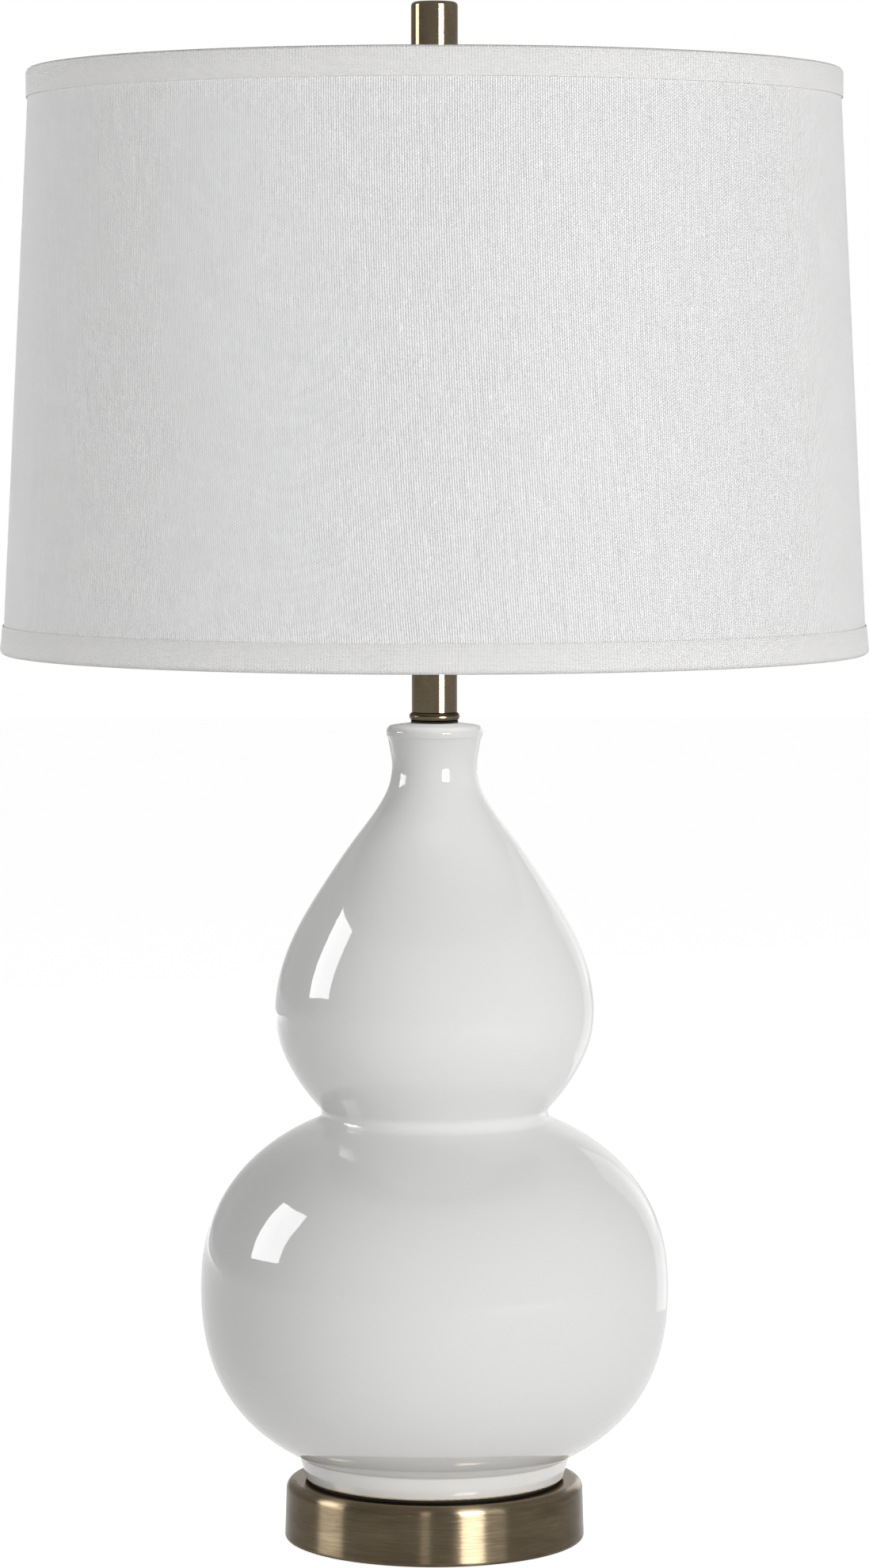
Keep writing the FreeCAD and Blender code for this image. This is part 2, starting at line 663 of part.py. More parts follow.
def socket_shell():
    """Spun shell that snaps into the cap, with a bead above the cap and a turned-in mouth."""
    inner = SHELL_R - SHELL_WALL
    bead_z = CAP_Z + CAP_H + SHELL_BEAD_ABOVE_CAP
    shoulder_r = SHELL_R - SHELL_SHOULDER_R
    shoulder_z = SHELL_TOP_Z - SHELL_SHOULDER_R
    edges = [line((SHELL_R, SHELL_Z), (SHELL_R, bead_z - SHELL_BEAD_R))]
    edges.append(corner_arc((SHELL_R, bead_z), SHELL_BEAD_R, -90, 90))
    edges.append(line((SHELL_R, bead_z + SHELL_BEAD_R), (SHELL_R, shoulder_z)))
    edges.append(corner_arc((shoulder_r, shoulder_z), SHELL_SHOULDER_R, 0, 90))
    edges += lines([(shoulder_r, SHELL_TOP_Z), (SHELL_MOUTH_R, SHELL_TOP_Z),
                    (SHELL_MOUTH_R, SHELL_TOP_Z - SHELL_WALL), (inner, SHELL_TOP_Z - SHELL_WALL),
                    (inner, SHELL_Z), (SHELL_R, SHELL_Z)])
    return turned(edges).cut(rod_along_y(KNOB_SHAFT_R + SHELL_SLOT_GAP, -2 * CAP_R, 0, KNOB_Z))


def socket_liner():
    outer = SHELL_R - SHELL_WALL
    sleeve = ring(outer, outer - LINER_SLEEVE_T, SHELL_Z + 1, SHELL_TOP_Z - SHELL_WALL)
    return sleeve.cut(rod_along_y(KNOB_SHAFT_R + LINER_SLOT_GAP, -CAP_R, 0, KNOB_Z))


def socket_block():
    """Insulating block that holds the switch, with flats for the two terminals."""
    block = disc(BLOCK_R, BLOCK_Z, BLOCK_TOP_Z)
    low_edge = [e for e in block.Edges if e.BoundBox.ZMax < BLOCK_Z + 0.1]
    block = block.makeFillet(BLOCK_EDGE_R, low_edge)
    flat_w = 12.0
    flat_h = 9.0
    for side in (-1, 1):
        middle_x = side * (BLOCK_R - TERMINAL_RECESS + flat_w / 2)
        flat = Part.makeBox(flat_w, flat_w, flat_h,
                            V(middle_x - flat_w / 2, -flat_w / 2, TERMINAL_Z - flat_h / 2))
        block = block.cut(flat)
    return block.cut(rod_along_y(KNOB_BORE_R, -CAP_R, -KNOB_SHAFT_IN, KNOB_Z))


def terminal_screws():
    """One brass and one nickelled screw, alike in size."""
    screws = []
    for side in (-1, 1):
        face_x = side * (BLOCK_R - TERMINAL_RECESS)
        head = Part.makeCylinder(TERMINAL_R, TERMINAL_T, V(face_x, 0, TERMINAL_Z), V(side, 0, 0))
        slot_x = face_x + side * TERMINAL_T - SLOT_W / 2
        slot = Part.makeBox(SLOT_W, 4 * TERMINAL_R, SLOT_W,
                            V(slot_x, -2 * TERMINAL_R, TERMINAL_Z - SLOT_W / 2))
        screws.append(head.cut(slot))
    return Part.makeCompound(screws)


def screw_shell():
    inner = SCREW_SHELL_R - SCREW_SHELL_T
    return ring(SCREW_SHELL_R, inner, BLOCK_TOP_Z, BLOCK_TOP_Z + SCREW_SHELL_H)


def centre_contact():
    """Springy tongue at the bottom of the socket, bent up to meet the bulb's tip."""
    low = BLOCK_TOP_Z
    strip_z = low + CONTACT_T
    under_z = CONTACT_TOP_Z - CONTACT_T
    points = [(-5, low), (5, low), (5, strip_z), (-3.2, strip_z), (0.8, under_z),
              (3.4, under_z), (3.4, CONTACT_TOP_Z), (0.4, CONTACT_TOP_Z), (-5, strip_z)]
    tongue = Part.Face(Part.Wire(closed_lines(points))).extrude(V(0, CONTACT_W, 0))
    tongue.translate(V(0, -CONTACT_W / 2, 0))
    return tongue


def switch_shaft():
    return rod_along_y(KNOB_SHAFT_R, -KNOB_SHAFT_OUT, -KNOB_SHAFT_IN - SHAFT_END_GAP, KNOB_Z)


def switch_knob():
    """Knob with flutes that run from its front to a plain collar."""
    knob = rod_along_y(KNOB_R, -KNOB_FAR, -KNOB_NEAR, KNOB_Z)
    far_edge = [e for e in knob.Edges if e.BoundBox.YMax < -KNOB_FAR + 0.1]
    knob = knob.makeFillet(KNOB_EDGE_R, far_edge)
    reach = KNOB_R + KNOB_FLUTE_OUT
    flute_l = KNOB_FAR - KNOB_NEAR - KNOB_COLLAR
    for i in range(KNOB_FLUTES):
        angle = 2 * math.pi * i / KNOB_FLUTES
        start = V(reach * math.cos(angle), -KNOB_FAR, KNOB_Z + reach * math.sin(angle))
        knob = knob.cut(Part.makeCylinder(KNOB_FLUTE_R, flute_l, start, V(0, 1, 0)))
    return knob.cut(rod_along_y(KNOB_SHAFT_R, -KNOB_SHAFT_OUT, 0, KNOB_Z))


# Bulb
def bulb_tip():
    return disc(BULB_TIP_R, BULB_Z, BULB_Z + BULB_TIP_H)


def bulb_insulator():
    low = BULB_Z + BULB_TIP_H
    high = low + BULB_INSULATOR_H
    outline = [(0, low), (BULB_INSULATOR_LOW_R, low), (BULB_INSULATOR_R, high), (0, high)]
    return turned(closed_lines(outline))


def bulb_screw_cap():
    """Rolled shell of the bulb's base; its thread is drawn as rings of the same pitch."""
    low = BULB_Z + BULB_TIP_H + BULB_INSULATOR_H
    top = BULB_Z + BULB_CAP_H
    root = BULB_THREAD_R - BULB_THREAD_DEPTH
    z = low + BULB_CAP_BEVEL
    edges = lines([(0, low), (BULB_INSULATOR_R, low), (root, z)])
    for _ in range(BULB_TURNS):
        next_z = z + BULB_THREAD_PITCH
        edges.append(arc((root, z), (BULB_THREAD_R, (z + next_z) / 2), (root, next_z)))
        z = next_z
    edges += lines([(root, z), (root, top), (0, top), (0, low)])
    return turned(edges)


def bulb_glass():
    """Hollow pear-shaped glass with a round top."""
    low = BULB_Z + BULB_CAP_H
    top = BULB_Z + BULB_H
    widest = top - BULB_R
    neck_r = BULB_THREAD_R - BULB_THREAD_DEPTH
    outside = glass_outline(neck_r, low, BULB_R, widest, top)
    thick = BULB_GLASS_T
    inside = glass_outline(neck_r - thick, low + thick, BULB_R - thick, widest, top - thick)
    return turned(outside).cut(turned(inside))


def glass_outline(neck_r, low, radius, widest, top):
    neck = [(neck_r, low), (neck_r + 1.2, low + 8), (radius * 0.72, low + 30), (radius, widest)]
    curve = Part.BSplineCurve()
    curve.interpolate([at(p) for p in neck], InitialTangent=V(0, 0, 1), FinalTangent=V(0, 0, 1))
    cos45 = math.sqrt(0.5)
    dome = arc((radius, widest), (radius * cos45, widest + radius * cos45), (0, widest + radius))
    return [curve.toShape(), dome, line((0, top), (0, low)), line((0, low), (neck_r, low))]


# Shade
def shade_mid(z):
    """Radius of the shade's middle surface at a height."""
    share = (z - LOW_RING_Z) / (HIGH_RING_Z - LOW_RING_Z)
    return LOW_RING_R + (HIGH_RING_R - LOW_RING_R) * share


def shade_skin(inner_offset, outer_offset):
    low = LOW_RING_Z + RING_SEAT_R
    high = HIGH_RING_Z - RING_SEAT_R
    outline = [(shade_mid(low) + inner_offset, low), (shade_mid(low) + outer_offset, low),
               (shade_mid(high) + outer_offset, high), (shade_mid(high) + inner_offset, high)]
    return turned(closed_lines(outline))


def shade_liner():
    return shade_skin(-SHADE_HALF_T, -SHADE_HALF_T + LINER_T)


def shade_fabric():
    return shade_skin(SHADE_HALF_T - FABRIC_T, SHADE_HALF_T)


def shade_trim(ring_z, towards):
    """Tape folded over a ring wire and glued to both faces; towards is +1 where it runs up."""
    ring_r = shade_mid(ring_z)
    end_z = ring_z + towards * (TRIM_W - EDGE_R)
    seat_z = ring_z + towards * RING_SEAT_R
    edges = []
    for side in (-1, 1):
        inner = side * SHADE_HALF_T
        outer = side * (SHADE_HALF_T + TRIM_T)
        edges += lines([(ring_r + side * EDGE_R, ring_z), (shade_mid(end_z) + outer, end_z),
                        (shade_mid(end_z) + inner, end_z), (shade_mid(seat_z) + inner, seat_z),
                        (ring_r + side * RING_SEAT_R, ring_z)])
    for radius in (EDGE_R, RING_SEAT_R):
        edge_z = ring_z - towards * radius
        edges.append(arc((ring_r - radius, ring_z), (ring_r, edge_z), (ring_r + radius, ring_z)))
    return turned(edges)


def ring_wire(ring_z):
    return Part.makeTorus(shade_mid(ring_z), RING_WIRE_R, V(0, 0, ring_z))


def spider_hub():
    return ring(HUB_R, HUB_HOLE_R, SEAT_Z, HUB_TOP_Z)


def spider_arm(index):
    """Wire from the hub's rim to the top ring, welded to both."""
    hub_z = HUB_TOP_Z - HUB_T / 2
    points = [(HUB_R - HUB_T, hub_z), (SPIDER_BEND_R, hub_z), (SPIDER_BEND_R + SPIDER_RISE_L, HIGH_RING_Z),
              (HIGH_RING_R - RING_WIRE_R / 2, HIGH_RING_Z)]
    path = rounded_path([at(p) for p in points], [6, 3])
    arm = swept_wire(path, SPIDER_WIRE_R)
    arm.rotate(V(0, 0, 0), UP, 90 + 360 * index / SPIDER_ARMS)
    return arm.cut(spider_hub()).cut(ring_wire(HIGH_RING_Z))


def top_trim():
    trim = shade_trim(HIGH_RING_Z, -1)
    for index in range(SPIDER_ARMS):
        trim = trim.cut(spider_arm(index))
    return trim


# Finial
def finial():
    low = HUB_TOP_Z
    edge_z = FINIAL_TOP_Z - FINIAL_EDGE_R
    bore_top = low + FINIAL_BORE_H
    edges = lines([(FINIAL_BORE_R, low), (FINIAL_R - FINIAL_FOOT_BEVEL, low),
                   (FINIAL_R, low + FINIAL_FOOT_BEVEL), (FINIAL_R, edge_z)])
    edges.append(corner_arc((FINIAL_R - FINIAL_EDGE_R, edge_z), FINIAL_EDGE_R, 0, 90))
    edges += lines([(FINIAL_R - FINIAL_EDGE_R, FINIAL_TOP_Z), (0, FINIAL_TOP_Z),
                    (0, bore_top + FINIAL_BORE_R / 2), (FINIAL_BORE_R, bore_top), (FINIAL_BORE_R, low)])
    return turned(edges)


def nodes():
    """Every piece of the lamp under its node's name."""
    pieces = {
        "felt_pad": felt_pad(),
        "base_plate": base_plate(),
        "base_shell": base_shell(),
        "base_weight": base_weight(),
        "cord_bushing": cord_bushing(),
        "bottom_washer": bottom_washer(),
        "star_washer": star_washer(),
        "rod_nuts": rod_nuts(),
        "threaded_rod": threaded_rod(),
        "foot_gasket": foot_gasket(),
        "neck_washer": neck_washer(),
        "check_ring": check_ring(),
        "neck_tube": neck_tube(),
        "tube_cap": tube_cap(),
        "harp_saddle": harp_saddle(),
        "harp_frame": harp_frame(),
        "harp_stud": harp_stud(),
        "ferrule_left": harp_ferrule(-1),
        "ferrule_right": harp_ferrule(1),
        "socket_cap": socket_cap(),
        "cap_set_screw": cap_set_screw(),
        "socket_shell": socket_shell(),
        "socket_liner": socket_liner(),
        "socket_block": socket_block(),
        "terminal_screws": terminal_screws(),
        "screw_shell": screw_shell(),
        "centre_contact": centre_contact(),
        "switch_shaft": switch_shaft(),
        "switch_knob": switch_knob(),
        "bulb_tip": bulb_tip(),
        "bulb_insulator": bulb_insulator(),
        "bulb_screw_cap": bulb_screw_cap(),
        "bulb_glass": bulb_glass(),
        "shade_fabric": shade_fabric(),
        "shade_liner": shade_liner(),
        "top_trim": top_trim(),
        "bottom_trim": shade_trim(LOW_RING_Z, 1),
        "top_ring": ring_wire(HIGH_RING_Z),
        "bottom_ring": ring_wire(LOW_RING_Z),
        "spider_hub": spider_hub(),
        "finial": finial(),
    }
    for index in range(SPIDER_ARMS):
        pieces["spider_arm_%d" % (index + 1)] = spider_arm(index)
    pieces.update(gourd_pieces())
    return pieces


def main():
    os.makedirs("parts", exist_ok=True)
    for name, shape in nodes().items():
        box = shape.BoundBox
        print("%-16s valid %s solids %d volume %.1f z %.2f to %.2f"
              % (name, shape.isValid(), len(shape.Solids), shape.Volume, box.ZMin, box.ZMax))
        shape.exportStep("parts/%s.step" % name)


main()
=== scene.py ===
"""Looks of a double gourd table lamp: cloth shade, glazed body, bronze metal and studio.

Metres, with +Z up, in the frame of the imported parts. Each operator makes one piece or one group.
"""
import math

import bmesh
import bpy
from mathutils import Matrix, Vector


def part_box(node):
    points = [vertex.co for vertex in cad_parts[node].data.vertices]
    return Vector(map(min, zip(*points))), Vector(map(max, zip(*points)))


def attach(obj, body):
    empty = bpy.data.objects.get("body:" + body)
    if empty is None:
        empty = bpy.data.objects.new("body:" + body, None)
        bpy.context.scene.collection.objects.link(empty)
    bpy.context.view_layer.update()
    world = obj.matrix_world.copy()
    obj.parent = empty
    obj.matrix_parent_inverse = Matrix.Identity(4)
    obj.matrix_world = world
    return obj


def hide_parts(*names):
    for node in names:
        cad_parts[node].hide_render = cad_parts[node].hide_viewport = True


bl_info = {
    "name": "Double gourd table lamp",
    "version": (1, 0, 0),
    "blender": (4, 5, 0),
    "location": "3D View > Sidebar > Lamp",
    "description": "Dresses the packed table lamp with its shade, glaze, metal and studio",
    "category": "Object",
}

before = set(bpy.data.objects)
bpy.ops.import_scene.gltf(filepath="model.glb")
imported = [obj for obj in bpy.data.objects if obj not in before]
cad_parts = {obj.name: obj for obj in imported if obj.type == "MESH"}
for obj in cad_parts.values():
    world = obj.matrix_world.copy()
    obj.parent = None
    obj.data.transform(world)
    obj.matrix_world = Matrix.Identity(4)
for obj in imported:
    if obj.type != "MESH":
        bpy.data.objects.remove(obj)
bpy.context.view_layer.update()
MM = 0.001
FULL_TURN = 2 * math.pi
SPIN_STEPS = 256
SMOOTH_BELOW = math.radians(40)
CLOTH_UV = "flat_cloth"
DARK_RIM = (0.72, 0.71, 0.70)

# How deep a piece that lies on another reaches into it.
SUNK = 0.1 * MM


# Places read from the frame
def ring_circle(node):
    """Radius and height of the centre line of a ring wire."""
    low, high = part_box(node)
    wire = (high.z - low.z) / 2
    return high.x - wire, (low.z + high.z) / 2


LOW_RING_R, LOW_RING_Z = ring_circle("bottom_ring")
HIGH_RING_R, HIGH_RING_Z = ring_circle("top_ring")

# From a ring's centre line to the tape that is folded round it.
RING_SEAT = 1.3 * MM

# The shade is part of a cone, and its cloth is cut as part of a flat ring of this outer radius.
SHADE_SLOPE = math.atan2(LOW_RING_R - HIGH_RING_R, HIGH_RING_Z - LOW_RING_Z)
SHADE_LEAN = math.sin(SHADE_SLOPE)
BLANK_R = LOW_RING_R / SHADE_LEAN


def shade_radius(height, outwards=0.0):
    """Radius of the shade at a height, on its middle surface or so far outside it."""
    share = (height - LOW_RING_Z) / (HIGH_RING_Z - LOW_RING_Z)
    return LOW_RING_R + (HIGH_RING_R - LOW_RING_R) * share + outwards


# Settings
def length(name, description, default):
    return bpy.props.FloatProperty(name=name, description=description, default=default,
                                   min=0.0, precision=5, unit="LENGTH")


def colour(name, description, default):
    return bpy.props.FloatVectorProperty(name=name, description=description, default=default,
                                         size=3, min=0.0, max=1.0, subtype="COLOR")


def angle(name, description, degrees):
    return bpy.props.FloatProperty(name=name, description=description,
                                   default=math.radians(degrees), unit="ROTATION")


def number(name, description, default):
    return bpy.props.FloatProperty(name=name, description=description, default=default, min=0.0)


class LampShadeSettings(bpy.types.PropertyGroup):
    cloth_t: length("Cloth thickness", "Thickness of the cloth on the shade", 0.9 * MM)
    liner_t: length("Liner thickness", "Thickness of the stiff sheet behind the cloth", 0.6 * MM)
    tape_t: length("Tape thickness", "Thickness of the tape folded over each ring", 0.7 * MM)
    tape_w: length("Tape width", "How far each tape reaches over the shade", 12.5 * MM)
    warp_pitch: length("Warp pitch", "From one upright thread to the next", 1.03 * MM)
    weft_pitch: length("Weft pitch", "From one level thread to the next", 0.67 * MM)
    tape_pitch: length("Tape pitch", "From one thread of the tape to the next", 0.61 * MM)
    tape_slant: angle("Tape slant", "Slope of the tape's threads", 28.0)
    thread_relief: length("Thread relief", "Height of the cloth's threads", 0.75 * MM)
    seam_w: length("Seam width", "Width of the cloth's overlap at the back", 11 * MM)
    seam_t: length("Seam thickness", "How far the overlap stands proud", 0.45 * MM)
    cloth_colour: colour("Cloth", "Colour of the cloth", (0.89, 0.89, 0.888))
    tape_colour: colour("Tape", "Colour of the tapes", (0.71, 0.707, 0.698))
    liner_colour: colour("Liner", "Colour of the sheet inside the shade", (0.82, 0.82, 0.80))


class LampFinishSettings(bpy.types.PropertyGroup):
    glaze_colour: colour("Glaze", "Colour of the glazed body", (0.85, 0.85, 0.842))
    clay_colour: colour("Bare clay", "Colour of the foot's unglazed edge", (0.62, 0.50, 0.38))
    bare_foot_h: length("Bare foot", "Height of the foot's unglazed edge", 0.8 * MM)
    bronze_colour: colour("Bronze", "Colour of the base, neck and finial", (0.104, 0.082, 0.053))
    brass_colour: colour("Antique brass", "Colour of the harp and its fittings", (0.30, 0.23, 0.13))
    felt_colour: colour("Felt", "Colour of the felt under the base", (0.016, 0.016, 0.017))
    felt_edge_r: length("Felt edge", "Rounding of the felt's rim", 0.4 * MM)
    stud_pitch: length("Stud thread", "Pitch of the thread on the harp's stud", 0.94 * MM)


class LampStudioSettings(bpy.types.PropertyGroup):
    camera_distance: length("Camera distance", "From the lamp's axis to the camera", 2.344)
    camera_height: length("Camera height", "Height of the camera over the floor", 0.508)
    camera_pitch: angle("Camera pitch", "How far the camera looks down", 4.2)
    camera_lens: number("Camera lens", "Focal length in millimetres", 122.46)
    ambient: number("Ambient light", "Brightness of the room at eye level on matt surfaces", 0.4)
    surroundings: number("Surroundings", "Brightness in gloss of all but the backdrop", 0.65)
    key: number("Key light", "Brightness of the lamp at the front right", 3.0)
    back_fill: number("Back fill", "Brightness of the lamp behind", 2.6)
    body_front: number("Body front", "Brightness of the body's lamp at the front", 0.95)
    body_left: number("Body left", "Brightness of the body's lamp at the left", 0.3)
    body_right: number("Body right", "Brightness of the body's lamp at the right", 1.6)
    body_high: number("Body high", "Brightness of the body's higher lamp at the front", 4.3)
    body_back: number("Body back", "Brightness of the body's lamp behind", 3.2)
    under_shade: number("Under the shade", "Brightness of the small lamp over the body's lip", 1.25)
    cloth_left: number("Cloth left", "Brightness of the shade's lamp at the left", 0.9)
    cloth_front: number("Cloth front", "Brightness of the shade's lamp at the front right", 0.85)
    cloth_back: number("Cloth back", "Brightness of the shade's lamp behind", 2.0)
    cloth_ring: number("Cloth ring", "Brightness of the ring of lamps round the shade", 1.85)
    left_box: number("Left softbox", "Brightness in gloss of the lamp at the left", 8.5)
    right_band: number("Right band", "Brightness in glaze of the lamp behind at the right", 0.45)
    front_strip: number("Front strip", "Brightness in gloss of the lamp at the front right", 42.0)
    front_shoulder: number("Front shoulder", "Brightness in gloss of the strip's dim sides", 3.8)
    right_panel: number("Right panel", "Brightness in gloss of the lamp behind at the right", 1.3)
    floor_w: length("Floor width", "Side of the square floor", 12.0)
    floor_colour: colour("Floor", "Colour of the floor", (0.85, 0.85, 0.85))
    floor_fill: number("Floor fill", "Share of the floor's glow that reaches matt surfaces", 0.25)
    floor_gloss: number("Floor gloss", "Share of the floor's glow that is seen in gloss", 0.8)
    floor_glow: number("Floor glow", "Added to the floor that the camera sees, to whiten it", 0.93)


# Materials
class Link:
    """A socket in a tree of nodes. Python's operators on it add Math nodes."""

    def __init__(self, nodes, socket):
        self.nodes = nodes
        self.socket = socket

    def __add__(self, other):
        return self.nodes.maths("ADD", self, other)

    def __radd__(self, other):
        return self.nodes.maths("ADD", other, self)

    def __sub__(self, other):
        return self.nodes.maths("SUBTRACT", self, other)

    def __rsub__(self, other):
        return self.nodes.maths("SUBTRACT", other, self)

    def __mul__(self, other):
        return self.nodes.maths("MULTIPLY", self, other)

    def __rmul__(self, other):
        return self.nodes.maths("MULTIPLY", other, self)

    def __truediv__(self, other):
        return self.nodes.maths("DIVIDE", self, other)

    def __lt__(self, other):
        return self.nodes.maths("LESS_THAN", self, other)

    def __abs__(self):
        return self.nodes.maths("ABSOLUTE", self)

    def sine(self):
        return self.nodes.maths("SINE", self)

    def clamped(self):
        """The number, kept between 0 and 1."""
        return self.nodes.node("ShaderNodeClamp", {}, {0: self})


class Nodes:
    """Adds nodes to the tree of a material or of the world."""

    # A Mix node has sockets for each kind of data. These are the ones for numbers and colours.
    NUMBER_A, NUMBER_B = 2, 3
    COLOUR_A, COLOUR_B, COLOUR_RESULT = 6, 7, 2

    def __init__(self, owner):
        owner.use_nodes = True
        self.tree = owner.node_tree

    def node(self, kind, settings, sockets, output=0):
        """Adds one node: first its settings, then the values or links of its sockets."""
        added = self.tree.nodes.new(kind)
        for name, value in settings.items():
            setattr(added, name, value)
        for name, value in sockets.items():
            self.fill(added.inputs[name], value)
        return Link(self, added.outputs[output])

    def fill(self, socket, value):
        if isinstance(value, Link):
            self.tree.links.new(value.socket, socket)
        else:
            socket.default_value = value

    def maths(self, operation, *values):
        return self.node("ShaderNodeMath", {"operation": operation}, dict(enumerate(values)))

    def light_path(self, *kinds):
        """1 for rays of any of the kinds named, and 0 for others."""
        node = self.node("ShaderNodeLightPath", {}, {}).socket.node
        rays = [Link(self, node.outputs[kind]) for kind in kinds]
        seen = rays[0]
        for ray in rays[1:]:
            seen = self.maths("MAXIMUM", seen, ray)
        return seen

    def between(self, share, first, second):
        """A number between two numbers."""
        return self.node("ShaderNodeMix", {"data_type": "FLOAT"},
                         {0: share, self.NUMBER_A: first, self.NUMBER_B: second})

    def split(self, vector):
        """The three numbers of a vector."""
        node = self.node("ShaderNodeSeparateXYZ", {}, {0: vector}).socket.node
        return [Link(self, output) for output in node.outputs]

    def join(self, x, y, z):
        return self.node("ShaderNodeCombineXYZ", {}, {0: x, 1: y, 2: z})


class Finish(Nodes):
    """A material with one Principled shader."""

    def __init__(self, name):
        self.material = bpy.data.materials.new(name)
        super().__init__(self.material)
        self.shader = self.tree.nodes["Principled BSDF"]

    def shade(self, **values):
        """Sets the shader's sockets, named in lower case with underscores."""
        for name, value in values.items():
            title = name.replace("_", " ").title().replace("Ior", "IOR")
            self.fill(self.shader.inputs[title], value)
        return self.material

    def place(self):
        return self.node("ShaderNodeTexCoord", {}, {}, "Object")

    def flat_place(self):
        """The place on a cloth before it was bent."""
        return self.node("ShaderNodeUVMap", {"uv_map": CLOTH_UV}, {})

    def around(self):
        """Cosine and sine of the turn about the lamp's axis, the distance from it, the height."""
        x, y, z = self.split(self.place())
        reach = self.maths("SQRT", x * x + y * y)
        return x / reach, y / reach, reach, z

    def noise(self, vector, scale, detail=2.0, roughness=0.5):
        """Noise from 0 to 1, with one scale or with one for each direction."""
        if isinstance(scale, tuple):
            vector = self.node("ShaderNodeVectorMath", {"operation": "MULTIPLY"},
                               {0: vector, 1: scale})
            scale = 1.0
        return self.node("ShaderNodeTexNoise", {}, {"Vector": vector, "Scale": scale,
                                                    "Detail": detail, "Roughness": roughness})

    def blend(self, share, first, second):
        """A colour between two colours."""
        return self.node("ShaderNodeMix", {"data_type": "RGBA"},
                         {0: share, self.COLOUR_A: opaque(first), self.COLOUR_B: opaque(second)},
                         self.COLOUR_RESULT)

    def tinted(self, tone, factor):
        """A colour made lighter or darker by a number."""
        grey = self.join(factor, factor, factor)
        return self.node("ShaderNodeMix", {"data_type": "RGBA", "blend_type": "MULTIPLY"},
                         {0: 1.0, self.COLOUR_A: opaque(tone), self.COLOUR_B: grey},
                         self.COLOUR_RESULT)

    def bump(self, height, distance):
        return self.node("ShaderNodeBump", {},
                         {"Height": height, "Distance": distance, "Strength": 1.0})


def opaque(tone):
    """A colour with its alpha, or a link as it is."""
    if isinstance(tone, Link):
        return tone
    return (*tone, 1.0)


def woven(across, along, across_share, along_share):
    """Height of a plain weave from 0 to 1.

    The ridges of both threads have their shares, and the rest is a bead where one lies over.
    """
    first = across.sine()
    second = along.sine()
    bead = 1.0 - across_share - along_share
    return abs(first) * across_share + abs(second) * along_share + first * second * bead


def cloth_finish(shade):
    """Plain linen weave with uneven upright threads and a few slubs."""
    finish = Finish("shade linen")
    flat = finish.flat_place()
    wander = finish.noise(flat, 45.0)
    u, v, _ = finish.split(flat)
    across = (u + wander * (0.5 * MM)) * (math.pi / shade.warp_pitch)
    along = (v + wander * (0.3 * MM)) * (math.pi / shade.weft_pitch)
    weave = woven(across, along, across_share=0.74, along_share=0.0)
    thread = finish.noise(flat, (900.0, 45.0, 0.0))
    rare = 0.66
    slub = ((finish.noise(flat, (800.0, 160.0, 0.0), detail=1.0) - rare) * 6.0).clamped()
    cloud = finish.noise(flat, 18.0, detail=3.0)
    # The weave's term is painted shade in the hollows between threads and painted light on their
    # tops; thread and slub are the cloth's own tone.
    tone = 0.84 + weave * 0.20 + thread * 0.05 + slub * 0.06
    relief = weave * (0.7 + thread * 0.6) + slub * 0.3 + cloud * 0.2
    return finish.shade(base_color=finish.tinted(shade.cloth_colour, tone), roughness=0.85,
                        sheen_weight=0.08, sheen_roughness=0.4, specular_ior_level=0.2,
                        normal=finish.bump(relief, shade.thread_relief))


def tape_finish(shade):
    """Finer cloth cut on the bias and stretched, so its threads cross the tape at a slant."""
    finish = Finish("shade tape")
    flat = finish.flat_place()
    u, v, _ = finish.split(flat)
    wander = finish.noise(flat, 60.0, detail=1.0) * (0.4 * MM)
    along = u * (math.sin(shade.tape_slant) * math.pi / shade.tape_pitch)
    up = (v + wander) * (math.cos(shade.tape_slant) * math.pi / shade.tape_pitch)
    weave = woven(along + up, along - up, across_share=0.36, along_share=0.32)
    thread = finish.noise(flat, 700.0)
    cloud = finish.noise(flat, 30.0)
    # The weave's term is painted shade in the hollows between threads and painted light on their
    # tops; thread and cloud are the tape's own tone.
    tone = 0.88 + weave * 0.09 + thread * 0.06 + cloud * 0.03
    finer = 2.4
    return finish.shade(base_color=finish.tinted(shade.tape_colour, tone), roughness=0.85,
                        sheen_weight=0.08, sheen_roughness=0.4, specular_ior_level=0.2,
                        normal=finish.bump(weave + thread * 0.3, shade.thread_relief / finer))


def liner_finish(shade):
    """Matt white plastic sheet with faint rolling marks."""
    finish = Finish("shade liner")
    place = finish.place()
    mottle = finish.noise(place, 60.0, detail=3.0)
    grain = finish.noise(place, 900.0, detail=1.0)
    return finish.shade(base_color=finish.tinted(shade.liner_colour, 0.97 + mottle * 0.05),
                        roughness=0.42 + mottle * 0.1, normal=finish.bump(grain, 0.02 * MM))


def glaze_finish(looks, foot_z, lip_z):
    """White gloss glaze with faint pooling.

    It is duller on the lip's crown, and bare clay shows at the foot's lower edge.
    """
    finish = Finish("white glaze")
    place = finish.place()
    _, _, height = finish.split(place)
    pooling = finish.noise(place, 14.0, detail=3.0, roughness=0.6)
    waviness = finish.noise(place, 95.0, detail=1.0)
    wander = finish.noise(place, 160.0)
    bare = height < foot_z + looks.bare_foot_h * 0.6 + wander * (looks.bare_foot_h * 0.8)
    glaze = finish.tinted(looks.glaze_colour, 0.985 + pooling * 0.03)
    crown_h = 2.2 * MM
    crown = ((height - (lip_z - crown_h)) / MM).clamped()
    return finish.shade(base_color=finish.blend(bare, glaze, looks.clay_colour),
                        roughness=0.035 + bare * 0.6 + crown * 0.55, ior=1.52,
                        normal=finish.bump(waviness, 0.012 * MM))


